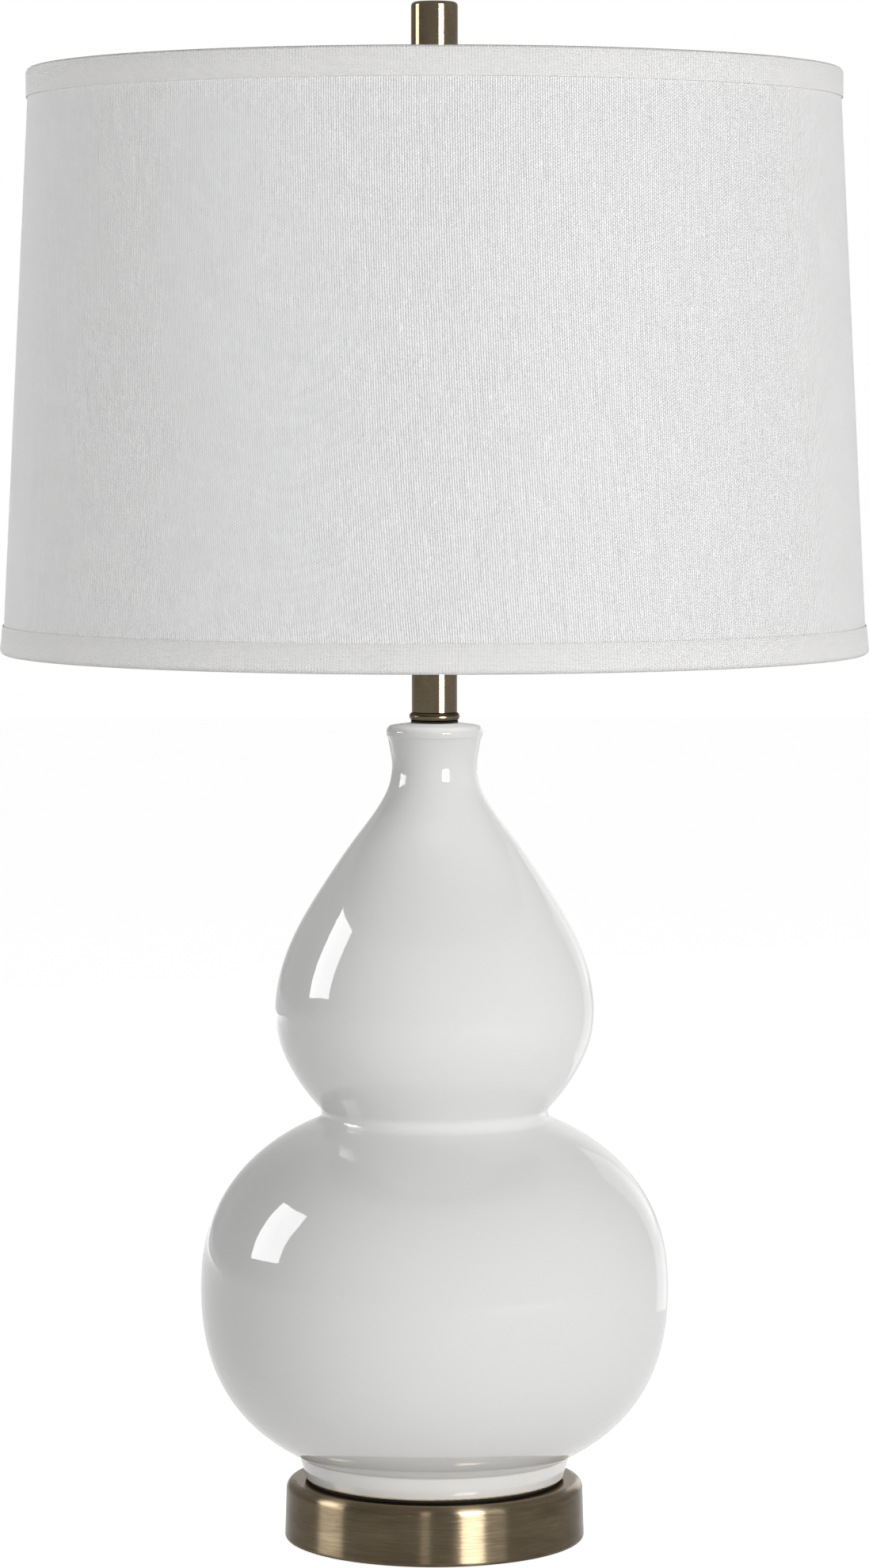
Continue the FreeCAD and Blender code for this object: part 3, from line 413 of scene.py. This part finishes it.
def turned_metal(name, tone, roughness, anisotropy, brushing, wear, top_z=None):
    """Antiqued metal brushed round the lamp's axis, darker where its brown film is thick.

    Where its top is given, its colour is painted brighter up to there as a painted highlight of the
    rim's reflection, and its top face is smoother.
    """
    finish = Finish(name)
    cosine, sine, reach, height = finish.around()
    turned = finish.join(cosine, sine, height - reach)
    hair = finish.noise(turned, (9.0, 9.0, 5200.0), roughness=0.6)
    stroke = finish.noise(turned, (4.0, 4.0, 1300.0), detail=3.0, roughness=0.65)
    film = finish.noise(turned, (2.0, 2.0, 90.0), detail=3.0)
    grain = finish.noise(finish.place(), 4200.0, detail=1.0)
    lines = stroke * 0.6 + hair * 0.4
    tint = 1.0 + wear * ((lines - 0.5) * 2.2 + (film - 0.5) * 1.2)
    dull = 0.55 + lines * 0.9
    if top_z is not None:
        rim_highlight_h = 3 * MM
        face_h = 0.2 * MM
        # Painted highlight: the colour is brightened over the top few millimetres, where the rim
        # catches the light.
        rim_highlight = ((height - (top_z - rim_highlight_h)) / rim_highlight_h).clamped()
        face = ((height - (top_z - face_h)) / face_h).clamped()
        tint = tint + rim_highlight * 0.8
        dull = dull * (1.0 - face * 0.65)
    return finish.shade(base_color=finish.tinted(tone, tint), metallic=1.0,
                        roughness=roughness * dull, specular_tint=opaque(DARK_RIM),
                        anisotropic=anisotropy, anisotropic_rotation=0.25,
                        normal=finish.bump(hair + stroke * 2.0 + grain * 0.35, brushing))


def drawn_metal(name, tone, roughness, spots=0.1):
    """Wire or pressed metal with faint drawing lines and spots."""
    finish = Finish(name)
    place = finish.place()
    lines = finish.noise(place, (1800.0, 1800.0, 120.0))
    patches = finish.noise(place, 220.0, detail=3.0)
    return finish.shade(base_color=finish.tinted(tone, 1.0 - spots + patches * 2.0 * spots),
                        metallic=1.0, roughness=roughness * (0.8 + patches * 0.4),
                        normal=finish.bump(lines, 0.01 * MM))


def plain_finish(name, tone, roughness, grain_scale, grain_height, variation=0.08):
    """Moulded, painted or pressed material: small grain and broader, slight changes of tone."""
    finish = Finish(name)
    place = finish.place()
    grain = finish.noise(place, grain_scale, detail=3.0)
    broad = finish.noise(place, grain_scale / 12.0)
    tint = 1.0 - variation + broad * 2.0 * variation
    return finish.shade(base_color=finish.tinted(tone, tint),
                        roughness=roughness * (0.9 + grain * 0.2),
                        normal=finish.bump(grain, grain_height))


def felt_finish(looks):
    """Pressed wool: short crossing fibres."""
    finish = Finish("felt")
    place = finish.place()
    fibres = finish.noise(place, (1500.0, 300.0, 900.0), detail=3.0)
    others = finish.noise(place, (300.0, 1500.0, 900.0), detail=3.0)
    pile = fibres + others
    return finish.shade(base_color=finish.tinted(looks.felt_colour, 0.4 + pile * 0.8),
                        roughness=0.95, sheen_weight=0.3, specular_ior_level=0.1,
                        normal=finish.bump(pile, 0.15 * MM))


def threaded_finish(name, tone, pitch):
    """Zinc-plated thread, cut by a groove that winds up the rod."""
    finish = Finish(name)
    x, y, z = finish.split(finish.place())
    turn = finish.maths("ARCTAN2", y, x) / FULL_TURN
    ridge = abs(((z / pitch - turn) * math.pi).sine())
    # Painted shade: the colour darkens towards the bottom of the groove.
    return finish.shade(base_color=finish.tinted(tone, 0.7 + ridge * 0.3), metallic=1.0,
                        roughness=0.32, normal=finish.bump(ridge, 0.35 * MM))


def dress(material, *nodes):
    """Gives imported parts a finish."""
    for node in nodes:
        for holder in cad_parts[node].material_slots:
            holder.material = material


# Mesh helpers
def spun(points, sweep=FULL_TURN, start=0.0, steps=SPIN_STEPS, cuts=0):
    """A closed outline of (radius, height) pairs turned about the lamp's axis."""
    mesh = bmesh.new()
    corners = [mesh.verts.new((radius, 0.0, height)) for radius, height in points]
    edges = [mesh.edges.new(pair) for pair in zip(corners, corners[1:] + corners[:1])]
    if cuts:
        longest = max(edge.calc_length() for edge in edges)
        sides = [edge for edge in edges if edge.calc_length() > longest / 2]
        bmesh.ops.subdivide_edges(mesh, edges=sides, cuts=cuts)
    bmesh.ops.rotate(mesh, verts=mesh.verts[:], cent=(0, 0, 0),
                     matrix=Matrix.Rotation(start, 3, "Z"))
    outline = mesh.verts[:] + mesh.edges[:]
    whole = sweep == FULL_TURN
    last = bmesh.ops.spin(mesh, geom=outline, cent=(0, 0, 0), axis=(0, 0, 1), angle=sweep,
                          steps=steps, use_merge=whole)["geom_last"]
    if not whole:
        for end in (outline, last):
            rim = [part for part in end if isinstance(part, bmesh.types.BMEdge)]
            bmesh.ops.contextual_create(mesh, geom=rim)
    bmesh.ops.recalc_face_normals(mesh, faces=mesh.faces[:])
    return mesh


def at_back(width, radius):
    """The angle that a strip takes up on a radius, and where it starts to lie centred behind."""
    sweep = width / radius
    return sweep, math.pi / 2 - sweep / 2


def soften(mesh, offset, segments=2, sharpest=math.radians(30)):
    """Bevels the edges that turn more than an angle."""
    sharp = [edge for edge in mesh.edges
             if edge.is_manifold and edge.calc_face_angle() > sharpest]
    bmesh.ops.bevel(mesh, geom=sharp, offset=offset, offset_type="OFFSET", segments=segments,
                    affect="EDGES", profile=0.5, material=-1, clamp_overlap=True)


def turn_from_front(place):
    """Turn about the axis from the front, to the right, between minus and plus half a turn."""
    return math.atan2(place.x, -place.y)


def lay_out(mesh, flatten):
    """Gives a mesh the UV map of its cloth, in metres, with the map's join at the back.

    Flatten takes a place and its turn from the front, and says where it was on the flat cloth.
    """
    layer = mesh.loops.layers.uv.new(CLOTH_UV)
    for face in mesh.faces:
        face_turn = turn_from_front(face.calc_center_median())
        for loop in face.loops:
            place = loop.vert.co
            turn = turn_from_front(place)
            if abs(turn - face_turn) > math.pi:
                turn += math.copysign(FULL_TURN, face_turn)
            loop[layer].uv = flatten(place, turn)


def from_cone(drift=0.0):
    """Unrolls the shade. Its threads drift to one side on the way down and run a little askew."""
    skew = 0.01

    def flatten(place, turn):
        reach = math.hypot(place.x, place.y) / SHADE_LEAN
        u = reach * math.sin(turn * SHADE_LEAN)
        v = BLANK_R - reach * math.cos(turn * SHADE_LEAN)
        drop = HIGH_RING_Z - place.z
        return u - drift * drop * drop, v + skew * u

    return flatten


def from_ring(radius):
    """Unrolls a tape: round its ring, and up its face."""
    def flatten(place, turn):
        return radius * turn, place.z + math.hypot(place.x, place.y)

    return flatten


def new_piece(name, mesh, body, material):
    """Makes the object of a finished mesh, at the origin, riding on a body."""
    data = bpy.data.meshes.new(name)
    mesh.to_mesh(data)
    mesh.free()
    data.materials.append(material)
    piece = bpy.data.objects.new(name, data)
    bpy.context.scene.collection.objects.link(piece)
    data.shade_smooth()
    data.set_sharp_from_angle(angle=SMOOTH_BELOW)
    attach(piece, body)
    return piece


class LampOperator:
    """What the lamp's operators share."""

    bl_options = {"REGISTER", "UNDO"}


# Shade
def half_wall(shade):
    """Half the thickness of the shade's cloth and liner together."""
    return (shade.cloth_t + shade.liner_t) / 2


def skin_outline(inner, outer):
    """Corners of a skin of the shade between its tapes' folds, so far in and out of its middle."""
    low = LOW_RING_Z + RING_SEAT
    high = HIGH_RING_Z - RING_SEAT
    return [(shade_radius(low, inner), low), (shade_radius(low, outer), low),
            (shade_radius(high, outer), high), (shade_radius(high, inner), high)]


class LAMP_OT_shade_cloth(LampOperator, bpy.types.Operator):
    """Woven cloth of the shade, with its overlap at the back"""

    bl_idname = "lamp.shade_cloth"
    bl_label = "Shade cloth"

    def execute(self, context):
        shade = context.scene.lamp_shade
        half = half_wall(shade)
        material = cloth_finish(shade)
        mesh = spun(skin_outline(half - shade.cloth_t, half), cuts=15)
        lay_out(mesh, from_cone(drift=0.17))
        cloth = new_piece("shade_cloth", mesh, "shade", material)
        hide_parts("shade_fabric")
        sweep, start = at_back(shade.seam_w, LOW_RING_R)
        overlap = spun(skin_outline(half - SUNK, half + shade.seam_t), sweep, start, 6, cuts=15)
        soften(overlap, 0.15 * MM)
        lay_out(overlap, from_cone())
        seam = new_piece("shade_seam", overlap, "shade", material)
        slant = (HIGH_RING_Z - LOW_RING_Z) / math.cos(SHADE_SLOPE)
        around = FULL_TURN * (LOW_RING_R + HIGH_RING_R) / 2 + shade.seam_w
        flat_w = 2 * BLANK_R * math.sin(math.pi * SHADE_LEAN)
        flat_h = BLANK_R - (BLANK_R - slant) * math.cos(math.pi * SHADE_LEAN)
        around * slant
        return {"FINISHED"}


class LAMP_OT_shade_liner(LampOperator, bpy.types.Operator):
    """Stiff sheet inside the shade, with the strip that joins its ends"""

    bl_idname = "lamp.shade_liner"
    bl_label = "Shade liner"

    def execute(self, context):
        shade = context.scene.lamp_shade
        half = half_wall(shade)
        material = liner_finish(shade)
        mesh = spun(skin_outline(-half, shade.liner_t - half), cuts=7)
        sheet = new_piece("shade_sheet", mesh, "shade", material)
        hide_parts("shade_liner")
        strip_t = 0.25 * MM
        strip_w = shade.seam_w * 1.6
        sweep, start = at_back(strip_w, LOW_RING_R)
        strip = spun(skin_outline(-half - strip_t, SUNK - half), sweep, start, 8, cuts=7)
        soften(strip, 0.08 * MM)
        new_piece("shade_sheet_join", strip, "shade", material)
        return {"FINISHED"}


def tape_outline(shade, ring_r, ring_z, towards, extra):
    """Section of a tape folded round a ring wire and over both faces of the shade.

    The tape runs up from its ring where towards is 1, and down where it is -1.
    """
    half = half_wall(shade)
    end_z = ring_z + towards * (shade.tape_w - RING_SEAT - shade.tape_t)
    fold_steps = 10
    outline = []
    for depth, order in ((shade.tape_t + extra, 1), (0.0, -1)):
        fold_r = RING_SEAT + depth
        ends = [(shade_radius(end_z, side * (half + depth)), end_z) for side in (1, -1)]
        fold = []
        for step in range(fold_steps + 1):
            turn = math.pi * step / fold_steps
            fold.append((ring_r + fold_r * math.cos(turn),
                         ring_z - towards * fold_r * math.sin(turn)))
        run = [ends[0]] + fold + [ends[1]]
        outline += run[::order]
    return outline


class LAMP_OT_shade_tapes(LampOperator, bpy.types.Operator):
    """Bias tapes folded over the shade's two rings, each with its overlapped end at the back"""

    bl_idname = "lamp.shade_tapes"
    bl_label = "Shade tapes"

    def execute(self, context):
        shade = context.scene.lamp_shade
        material = tape_finish(shade)
        lap_t = 0.35 * MM
        edge = math.radians(60)
        rings = (("top", HIGH_RING_R, HIGH_RING_Z, -1), ("bottom", LOW_RING_R, LOW_RING_Z, 1))
        for place, ring_r, ring_z, towards in rings:
            mesh = spun(tape_outline(shade, ring_r, ring_z, towards, 0.0))
            soften(mesh, 0.22 * MM, sharpest=edge)
            lay_out(mesh, from_ring(ring_r))
            tape = new_piece(place + "_tape", mesh, "shade", material)
            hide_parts(place + "_trim")
            sweep, start = at_back(shade.seam_w, ring_r)
            lap = spun(tape_outline(shade, ring_r, ring_z, towards, lap_t), sweep, start, 6)
            soften(lap, 0.15 * MM, sharpest=edge)
            lay_out(lap, from_ring(ring_r))
            new_piece(place + "_tape_lap", lap, "shade", material)
        return {"FINISHED"}


# Body
class LAMP_OT_gourd(LampOperator, bpy.types.Operator):
    """White glaze on the double gourd, bare at the edge of its foot"""

    bl_idname = "lamp.gourd"
    bl_label = "Glazed gourd"

    def execute(self, context):
        foot_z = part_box("gourd_lower")[0].z
        lip_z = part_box("gourd_neck")[1].z
        glaze = glaze_finish(context.scene.lamp_finish, foot_z, lip_z)
        dress(glaze, "gourd_lower", "gourd_upper", "gourd_neck")
        return {"FINISHED"}


class LAMP_OT_bronze(LampOperator, bpy.types.Operator):
    """Brushed base, satin ring, and polished neck and finial"""

    bl_idname = "lamp.bronze"
    bl_label = "Bronze metal"

    def execute(self, context):
        tone = context.scene.lamp_finish.bronze_colour
        bright = [part * 1.5 for part in tone]
        brushed = turned_metal("brushed bronze", tone, 0.25, anisotropy=1.0,
                               brushing=0.004 * MM, wear=0.7, top_z=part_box("base_shell")[1].z)
        polished = turned_metal("polished bronze", bright, 0.10, anisotropy=0.6,
                                brushing=0.0005 * MM, wear=0.35)
        satin = turned_metal("satin bronze", bright, 0.2, anisotropy=0.2,
                             brushing=0.001 * MM, wear=0.35)
        dress(brushed, "base_shell")
        dress(polished, "neck_tube", "tube_cap", "finial")
        dress(satin, "check_ring")
        return {"FINISHED"}


class LAMP_OT_felt(LampOperator, bpy.types.Operator):
    """Felt disc glued under the base"""

    bl_idname = "lamp.felt"
    bl_label = "Felt"

    def execute(self, context):
        looks = context.scene.lamp_finish
        low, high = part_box("felt_pad")
        mesh = bmesh.new()
        rim = bmesh.ops.create_circle(mesh, cap_ends=True, segments=SPIN_STEPS // 2,
                                      radius=high.x)
        bmesh.ops.translate(mesh, verts=rim["verts"], vec=(0, 0, low.z))
        raised = bmesh.ops.extrude_face_region(mesh, geom=mesh.faces[:])["geom"]
        top = [part for part in raised if isinstance(part, bmesh.types.BMVert)]
        bmesh.ops.translate(mesh, verts=top, vec=(0, 0, high.z - low.z))
        bmesh.ops.recalc_face_normals(mesh, faces=mesh.faces[:])
        soften(mesh, looks.felt_edge_r, segments=3)
        felt = new_piece("felt_disc", mesh, "stand", felt_finish(looks))
        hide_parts("felt_pad")
        return {"FINISHED"}


# Fittings
def stud_thread(pitch):
    """One ridge wound up the harp's stud, from above its seat to near its tip."""
    stud_r = 3.05 * MM
    ridge_h = 0.18 * MM
    half_ridge = pitch * 0.42
    bare_tip = 1.2 * MM
    steps_each = 24
    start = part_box("spider_hub")[0].z + 2 * pitch
    turns = int((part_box("harp_stud")[1].z - bare_tip - start) / pitch) - 1
    mesh = bmesh.new()
    section = [(stud_r - SUNK, -half_ridge), (stud_r + ridge_h, 0.0), (stud_r - SUNK, half_ridge)]
    mesh.faces.new([mesh.verts.new((radius, 0.0, start + rise)) for radius, rise in section])
    outline = mesh.verts[:] + mesh.edges[:] + mesh.faces[:]
    bmesh.ops.spin(mesh, geom=outline, cent=(0, 0, 0), axis=(0, 0, 1),
                   dvec=(0, 0, pitch / steps_each), angle=FULL_TURN * turns,
                   steps=steps_each * turns, use_merge=False)
    bmesh.ops.recalc_face_normals(mesh, faces=mesh.faces[:])
    return mesh


class LAMP_OT_harp(LampOperator, bpy.types.Operator):
    """Harp, saddle, ferrules and the thread on the harp's stud"""

    bl_idname = "lamp.harp"
    bl_label = "Harp"

    def execute(self, context):
        looks = context.scene.lamp_finish
        brass = drawn_metal("antique brass", looks.brass_colour, 0.3)
        dress(brass, "harp_saddle", "harp_frame", "harp_stud", "ferrule_left", "ferrule_right")
        new_piece("stud_thread", stud_thread(looks.stud_pitch), "harp", brass)
        return {"FINISHED"}


class LAMP_OT_socket(LampOperator, bpy.types.Operator):
    """Finishes of the socket, its switch, the bulb and the cord's bushing"""

    bl_idname = "lamp.socket"
    bl_label = "Socket and bulb"

    def execute(self, context):
        brass = drawn_metal("polished brass", (0.72, 0.52, 0.24), 0.2)
        rolled = drawn_metal("rolled aluminium", (0.72, 0.72, 0.72), 0.28)
        black = plain_finish("black moulding", (0.015, 0.015, 0.015), 0.35, 900.0, 0.01 * MM)
        fibre = plain_finish("fibre sleeve", (0.50, 0.40, 0.27), 0.8, 700.0, 0.03 * MM)
        block = plain_finish("brown moulding", (0.05, 0.03, 0.02), 0.4, 800.0, 0.01 * MM)
        glassy = plain_finish("black glass", (0.01, 0.01, 0.012), 0.12, 500.0, 0.005 * MM)
        frosted = plain_finish("frosted glass", (0.88, 0.87, 0.84), 0.28, 300.0, 0.002 * MM,
                               variation=0.02)
        dress(brass, "socket_cap", "socket_shell", "terminal_screws", "centre_contact")
        dress(rolled, "screw_shell", "bulb_screw_cap", "bulb_tip")
        dress(fibre, "socket_liner")
        dress(block, "socket_block")
        dress(glassy, "bulb_insulator")
        dress(frosted, "bulb_glass")
        dress(black, "switch_knob", "cord_bushing")
        return {"FINISHED"}


class LAMP_OT_spider(LampOperator, bpy.types.Operator):
    """White enamel on the shade's rings, hub and arms"""

    bl_idname = "lamp.spider"
    bl_label = "Rings and spider"

    def execute(self, context):
        enamel = plain_finish("white enamel", (0.80, 0.80, 0.78), 0.3, 500.0, 0.02 * MM,
                              variation=0.03)
        dress(enamel, "top_ring", "bottom_ring", "spider_hub",
              "spider_arm_1", "spider_arm_2", "spider_arm_3")
        return {"FINISHED"}


class LAMP_OT_inner_parts(LampOperator, bpy.types.Operator):
    """Finishes of the rod, weight, board, gaskets and small steel parts"""

    bl_idname = "lamp.inner_parts"
    bl_label = "Inner parts"

    def execute(self, context):
        zinc = (0.55, 0.55, 0.53)
        steel = drawn_metal("zinc steel", zinc, 0.35)
        thread = threaded_finish("zinc thread", zinc, context.scene.lamp_finish.stud_pitch)
        iron = plain_finish("cast iron", (0.045, 0.045, 0.048), 0.7, 400.0, 0.15 * MM,
                            variation=0.2)
        board = plain_finish("hardboard", (0.22, 0.15, 0.09), 0.85, 900.0, 0.05 * MM,
                             variation=0.2)
        rubber = plain_finish("black rubber", (0.012, 0.012, 0.012), 0.75, 1100.0, 0.02 * MM)
        dress(thread, "threaded_rod")
        dress(steel, "rod_nuts", "bottom_washer", "star_washer", "cap_set_screw", "switch_shaft")
        dress(iron, "base_weight")
        dress(board, "base_plate")
        dress(rubber, "foot_gasket", "neck_washer")
        return {"FINISHED"}


# Studio
LAMP_DISTANCE = 2.0
LAMP_AIM_Z = 0.3
WIDE = (1.2, 1.2)
STRIP_H = 1.6
RING_LAMPS = 8


def softbox(name, azimuth, elevation, size, radiance, glossy=False, only=(), roll=0.0,
            distance=LAMP_DISTANCE):
    """A flat lamp that faces the body, for gloss alone or for matt surfaces alone.

    Azimuth 0 is the camera's side and 90 is to its right. Radiance 1 is as bright as a white
    wall. The lamp lights everything, or only some pieces.
    """
    lamp = bpy.data.lights.new(name, "AREA")
    lamp.shape = "RECTANGLE"
    lamp.size, lamp.size_y = size
    lamp.energy = radiance * math.pi * lamp.size * lamp.size_y
    box = bpy.data.objects.new(name, lamp)
    bpy.context.scene.collection.objects.link(box)
    turn = math.radians(azimuth)
    rise = math.radians(elevation)
    place = Vector((distance * math.sin(turn) * math.cos(rise),
                    -distance * math.cos(turn) * math.cos(rise),
                    LAMP_AIM_Z + distance * math.sin(rise)))
    facing = Vector((0, 0, LAMP_AIM_Z)) - place
    box.location = place
    box.rotation_euler = facing.to_track_quat("-Z", "Y").to_euler()
    box.rotation_euler.rotate_axis("Z", math.radians(roll))
    box.visible_camera = False
    box.visible_glossy = glossy
    box.visible_diffuse = not glossy
    if only:
        lit = bpy.data.collections.new(name + " lights")
        for piece in only:
            lit.objects.link(piece)
        box.light_linking.receiver_collection = lit


def matt_lamps(studio, body, cloth):
    """Soft light on matt surfaces, with lamps of their own for the body and for the shade."""
    softbox("key", 42, 8, WIDE, studio.key)
    softbox("back_fill", -150, 8, WIDE, studio.back_fill)
    softbox("body_front", 22, 2, WIDE, studio.body_front, only=body)
    softbox("body_left", -45, 24, WIDE, studio.body_left, only=body)
    softbox("body_right", 110, 8, WIDE, studio.body_right, only=body)
    softbox("body_high", -10, 18, (1.2, 0.6), studio.body_high, only=body)
    softbox("body_back", 180, 8, WIDE, studio.body_back, only=body)
    softbox("under_shade", 20, 78, (0.06, 0.06), studio.under_shade, only=body, distance=0.092)
    softbox("cloth_left", -30, 8, WIDE, studio.cloth_left, only=cloth)
    softbox("cloth_front", 25, 8, WIDE, studio.cloth_front, only=cloth)
    softbox("cloth_back", 180, 8, WIDE, studio.cloth_back, only=cloth)
    for step in range(RING_LAMPS):
        softbox("cloth_ring_%d" % step, 360 / RING_LAMPS * step, 8, WIDE, studio.cloth_ring,
                only=cloth)


def gloss_lamps(studio, glazed, parts):
    """The bright shapes in the glaze and in the metal, most of them for one part alone."""
    base = [parts["base_shell"]]
    softbox("left_box", -95, 20, (0.72, 1.06), studio.left_box, glossy=True, roll=10)
    softbox("right_band", 142, -7, (0.2, 0.45), studio.right_band, glossy=True, only=glazed,
            distance=0.585)
    for node, turn, width in (("base_shell", 29, 0.62), ("finial", 33.5, 0.78),
                              ("neck_tube", 38, 0.85), ("check_ring", 38, 0.85)):
        softbox("strip_" + node, turn, 10, (width, STRIP_H), studio.front_strip, glossy=True,
                only=[parts[node]])
    softbox("front_glint", -7, 10, (0.22, STRIP_H), studio.front_shoulder, glossy=True, only=base)
    softbox("neck_mark", 30, 13, (0.62, 1.0), studio.front_strip, glossy=True,
            only=[parts["gourd_neck"]])
    softbox("left_low", -86, -2, (0.84, 0.75), studio.left_box * 1.3, glossy=True, only=base)
    softbox("front_shoulder", 47, 10, (0.62, STRIP_H), studio.front_shoulder, glossy=True,
            only=base)
    softbox("right_panel", 158, 8, (0.7, 1.2), studio.right_panel, glossy=True, only=base)


def studio_world(studio):
    """White to the camera, and soft light from the sides on matt surfaces.

    In gloss it is a white backdrop, brighter at the right, in dim surroundings.
    """
    world = bpy.data.worlds.new("studio")
    bpy.context.scene.world = world
    nodes = Nodes(world)
    direction = nodes.node("ShaderNodeTexCoord", {}, {}, "Generated")
    right, away, up = nodes.split(direction)
    backdrop_edge = 0.80
    backdrop_full = 0.99
    backdrop = nodes.node("ShaderNodeMapRange", {"interpolation_type": "SMOOTHSTEP"},
                          {"Value": away, "From Min": backdrop_edge, "From Max": backdrop_full,
                           "To Min": (right * 0.2 + 1.0) * studio.surroundings,
                           "To Max": right * 1.2 + 0.9})
    level_way = 1.0 - abs(up)
    level = nodes.between(nodes.light_path("Is Glossy Ray"),
                          level_way * level_way * studio.ambient, backdrop)
    level = nodes.between(nodes.light_path("Is Camera Ray", "Is Transmission Ray"), level, 1.0)
    background = nodes.tree.nodes["Background"]
    nodes.fill(background.inputs["Color"], (1.0, 1.0, 1.0, 1.0))
    nodes.fill(background.inputs["Strength"], level)


def floor_finish(studio):
    """Pale floor that looks white to the camera and keeps the lamp's shadow."""
    finish = Finish("studio floor")
    seen = finish.between(finish.light_path("Is Glossy Ray"), studio.floor_fill,
                          studio.floor_gloss)
    seen = finish.between(finish.light_path("Is Camera Ray", "Is Transmission Ray"), seen, 1.0)
    return finish.shade(base_color=opaque(studio.floor_colour), roughness=0.9,
                        specular_ior_level=0.0, emission_color=finish.join(seen, seen, seen),
                        emission_strength=studio.floor_glow)


def studio_floor(studio):
    """A square floor, just under the lamp."""
    gap = 0.2 * MM
    mesh = bmesh.new()
    bmesh.ops.create_grid(mesh, x_segments=4, y_segments=4, size=studio.floor_w / 2)
    bmesh.ops.translate(mesh, verts=mesh.verts[:], vec=(0, 0, -gap))
    data = bpy.data.meshes.new("floor")
    mesh.to_mesh(data)
    mesh.free()
    data.materials.append(floor_finish(studio))
    floor = bpy.data.objects.new("floor", data)
    bpy.context.scene.collection.objects.link(floor)


def studio_camera(studio):
    """The camera in front of the lamp, looking slightly down."""
    lens = bpy.data.cameras.new("camera")
    lens.lens = studio.camera_lens
    lens.clip_start = 0.05
    lens.clip_end = 50.0
    camera = bpy.data.objects.new("camera", lens)
    bpy.context.scene.collection.objects.link(camera)
    camera.location = (0.0, -studio.camera_distance, studio.camera_height)
    camera.rotation_euler = (math.pi / 2 - studio.camera_pitch, 0.0, 0.0)
    bpy.context.scene.camera = camera


class LAMP_OT_studio(LampOperator, bpy.types.Operator):
    """Pale floor, soft studio light and the camera at the photograph's angle"""

    bl_idname = "lamp.studio"
    bl_label = "Studio"

    def execute(self, context):
        studio = context.scene.lamp_studio
        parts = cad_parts
        glazed = [parts[node] for node in ("gourd_lower", "gourd_upper", "gourd_neck")]
        body = glazed + [parts["base_shell"], parts["foot_gasket"]]
        cloth = [bpy.data.objects[name] for name in
                 ("shade_cloth", "shade_seam", "top_tape", "bottom_tape",
                  "top_tape_lap", "bottom_tape_lap")]
        studio_floor(studio)
        studio_world(studio)
        matt_lamps(studio, body, cloth)
        gloss_lamps(studio, glazed, parts)
        studio_camera(studio)
        context.scene.view_settings.view_transform = "Standard"
        return {"FINISHED"}


SETTINGS = {
    "lamp_shade": LampShadeSettings,
    "lamp_finish": LampFinishSettings,
    "lamp_studio": LampStudioSettings,
}
OPERATORS = (LAMP_OT_shade_cloth, LAMP_OT_shade_liner, LAMP_OT_shade_tapes, LAMP_OT_gourd,
             LAMP_OT_bronze, LAMP_OT_felt, LAMP_OT_harp, LAMP_OT_socket, LAMP_OT_spider,
             LAMP_OT_inner_parts, LAMP_OT_studio)


class LAMP_PT_panel(bpy.types.Panel):
    """The lamp's settings, and one button for each of its operators"""

    bl_idname = "LAMP_PT_panel"
    bl_label = "Table lamp"
    bl_space_type = "VIEW_3D"
    bl_region_type = "UI"
    bl_category = "Lamp"

    def draw(self, context):
        for holder in SETTINGS:
            settings = getattr(context.scene, holder)
            box = self.layout.box()
            for name in settings.__annotations__:
                box.prop(settings, name)
        for operator in OPERATORS:
            self.layout.operator(operator.bl_idname)


CLASSES = (*SETTINGS.values(), *OPERATORS, LAMP_PT_panel)


def register():
    for member in CLASSES:
        bpy.utils.register_class(member)
    for name, group in SETTINGS.items():
        setattr(bpy.types.Scene, name, bpy.props.PointerProperty(type=group))


def unregister():
    for name in SETTINGS:
        delattr(bpy.types.Scene, name)
    for member in reversed(CLASSES):
        bpy.utils.unregister_class(member)


def main():
    register()
    for operator in OPERATORS:
        group, name = operator.bl_idname.split(".")
        getattr(getattr(bpy.ops, group), name)()


if __name__ == "__main__":
    main()
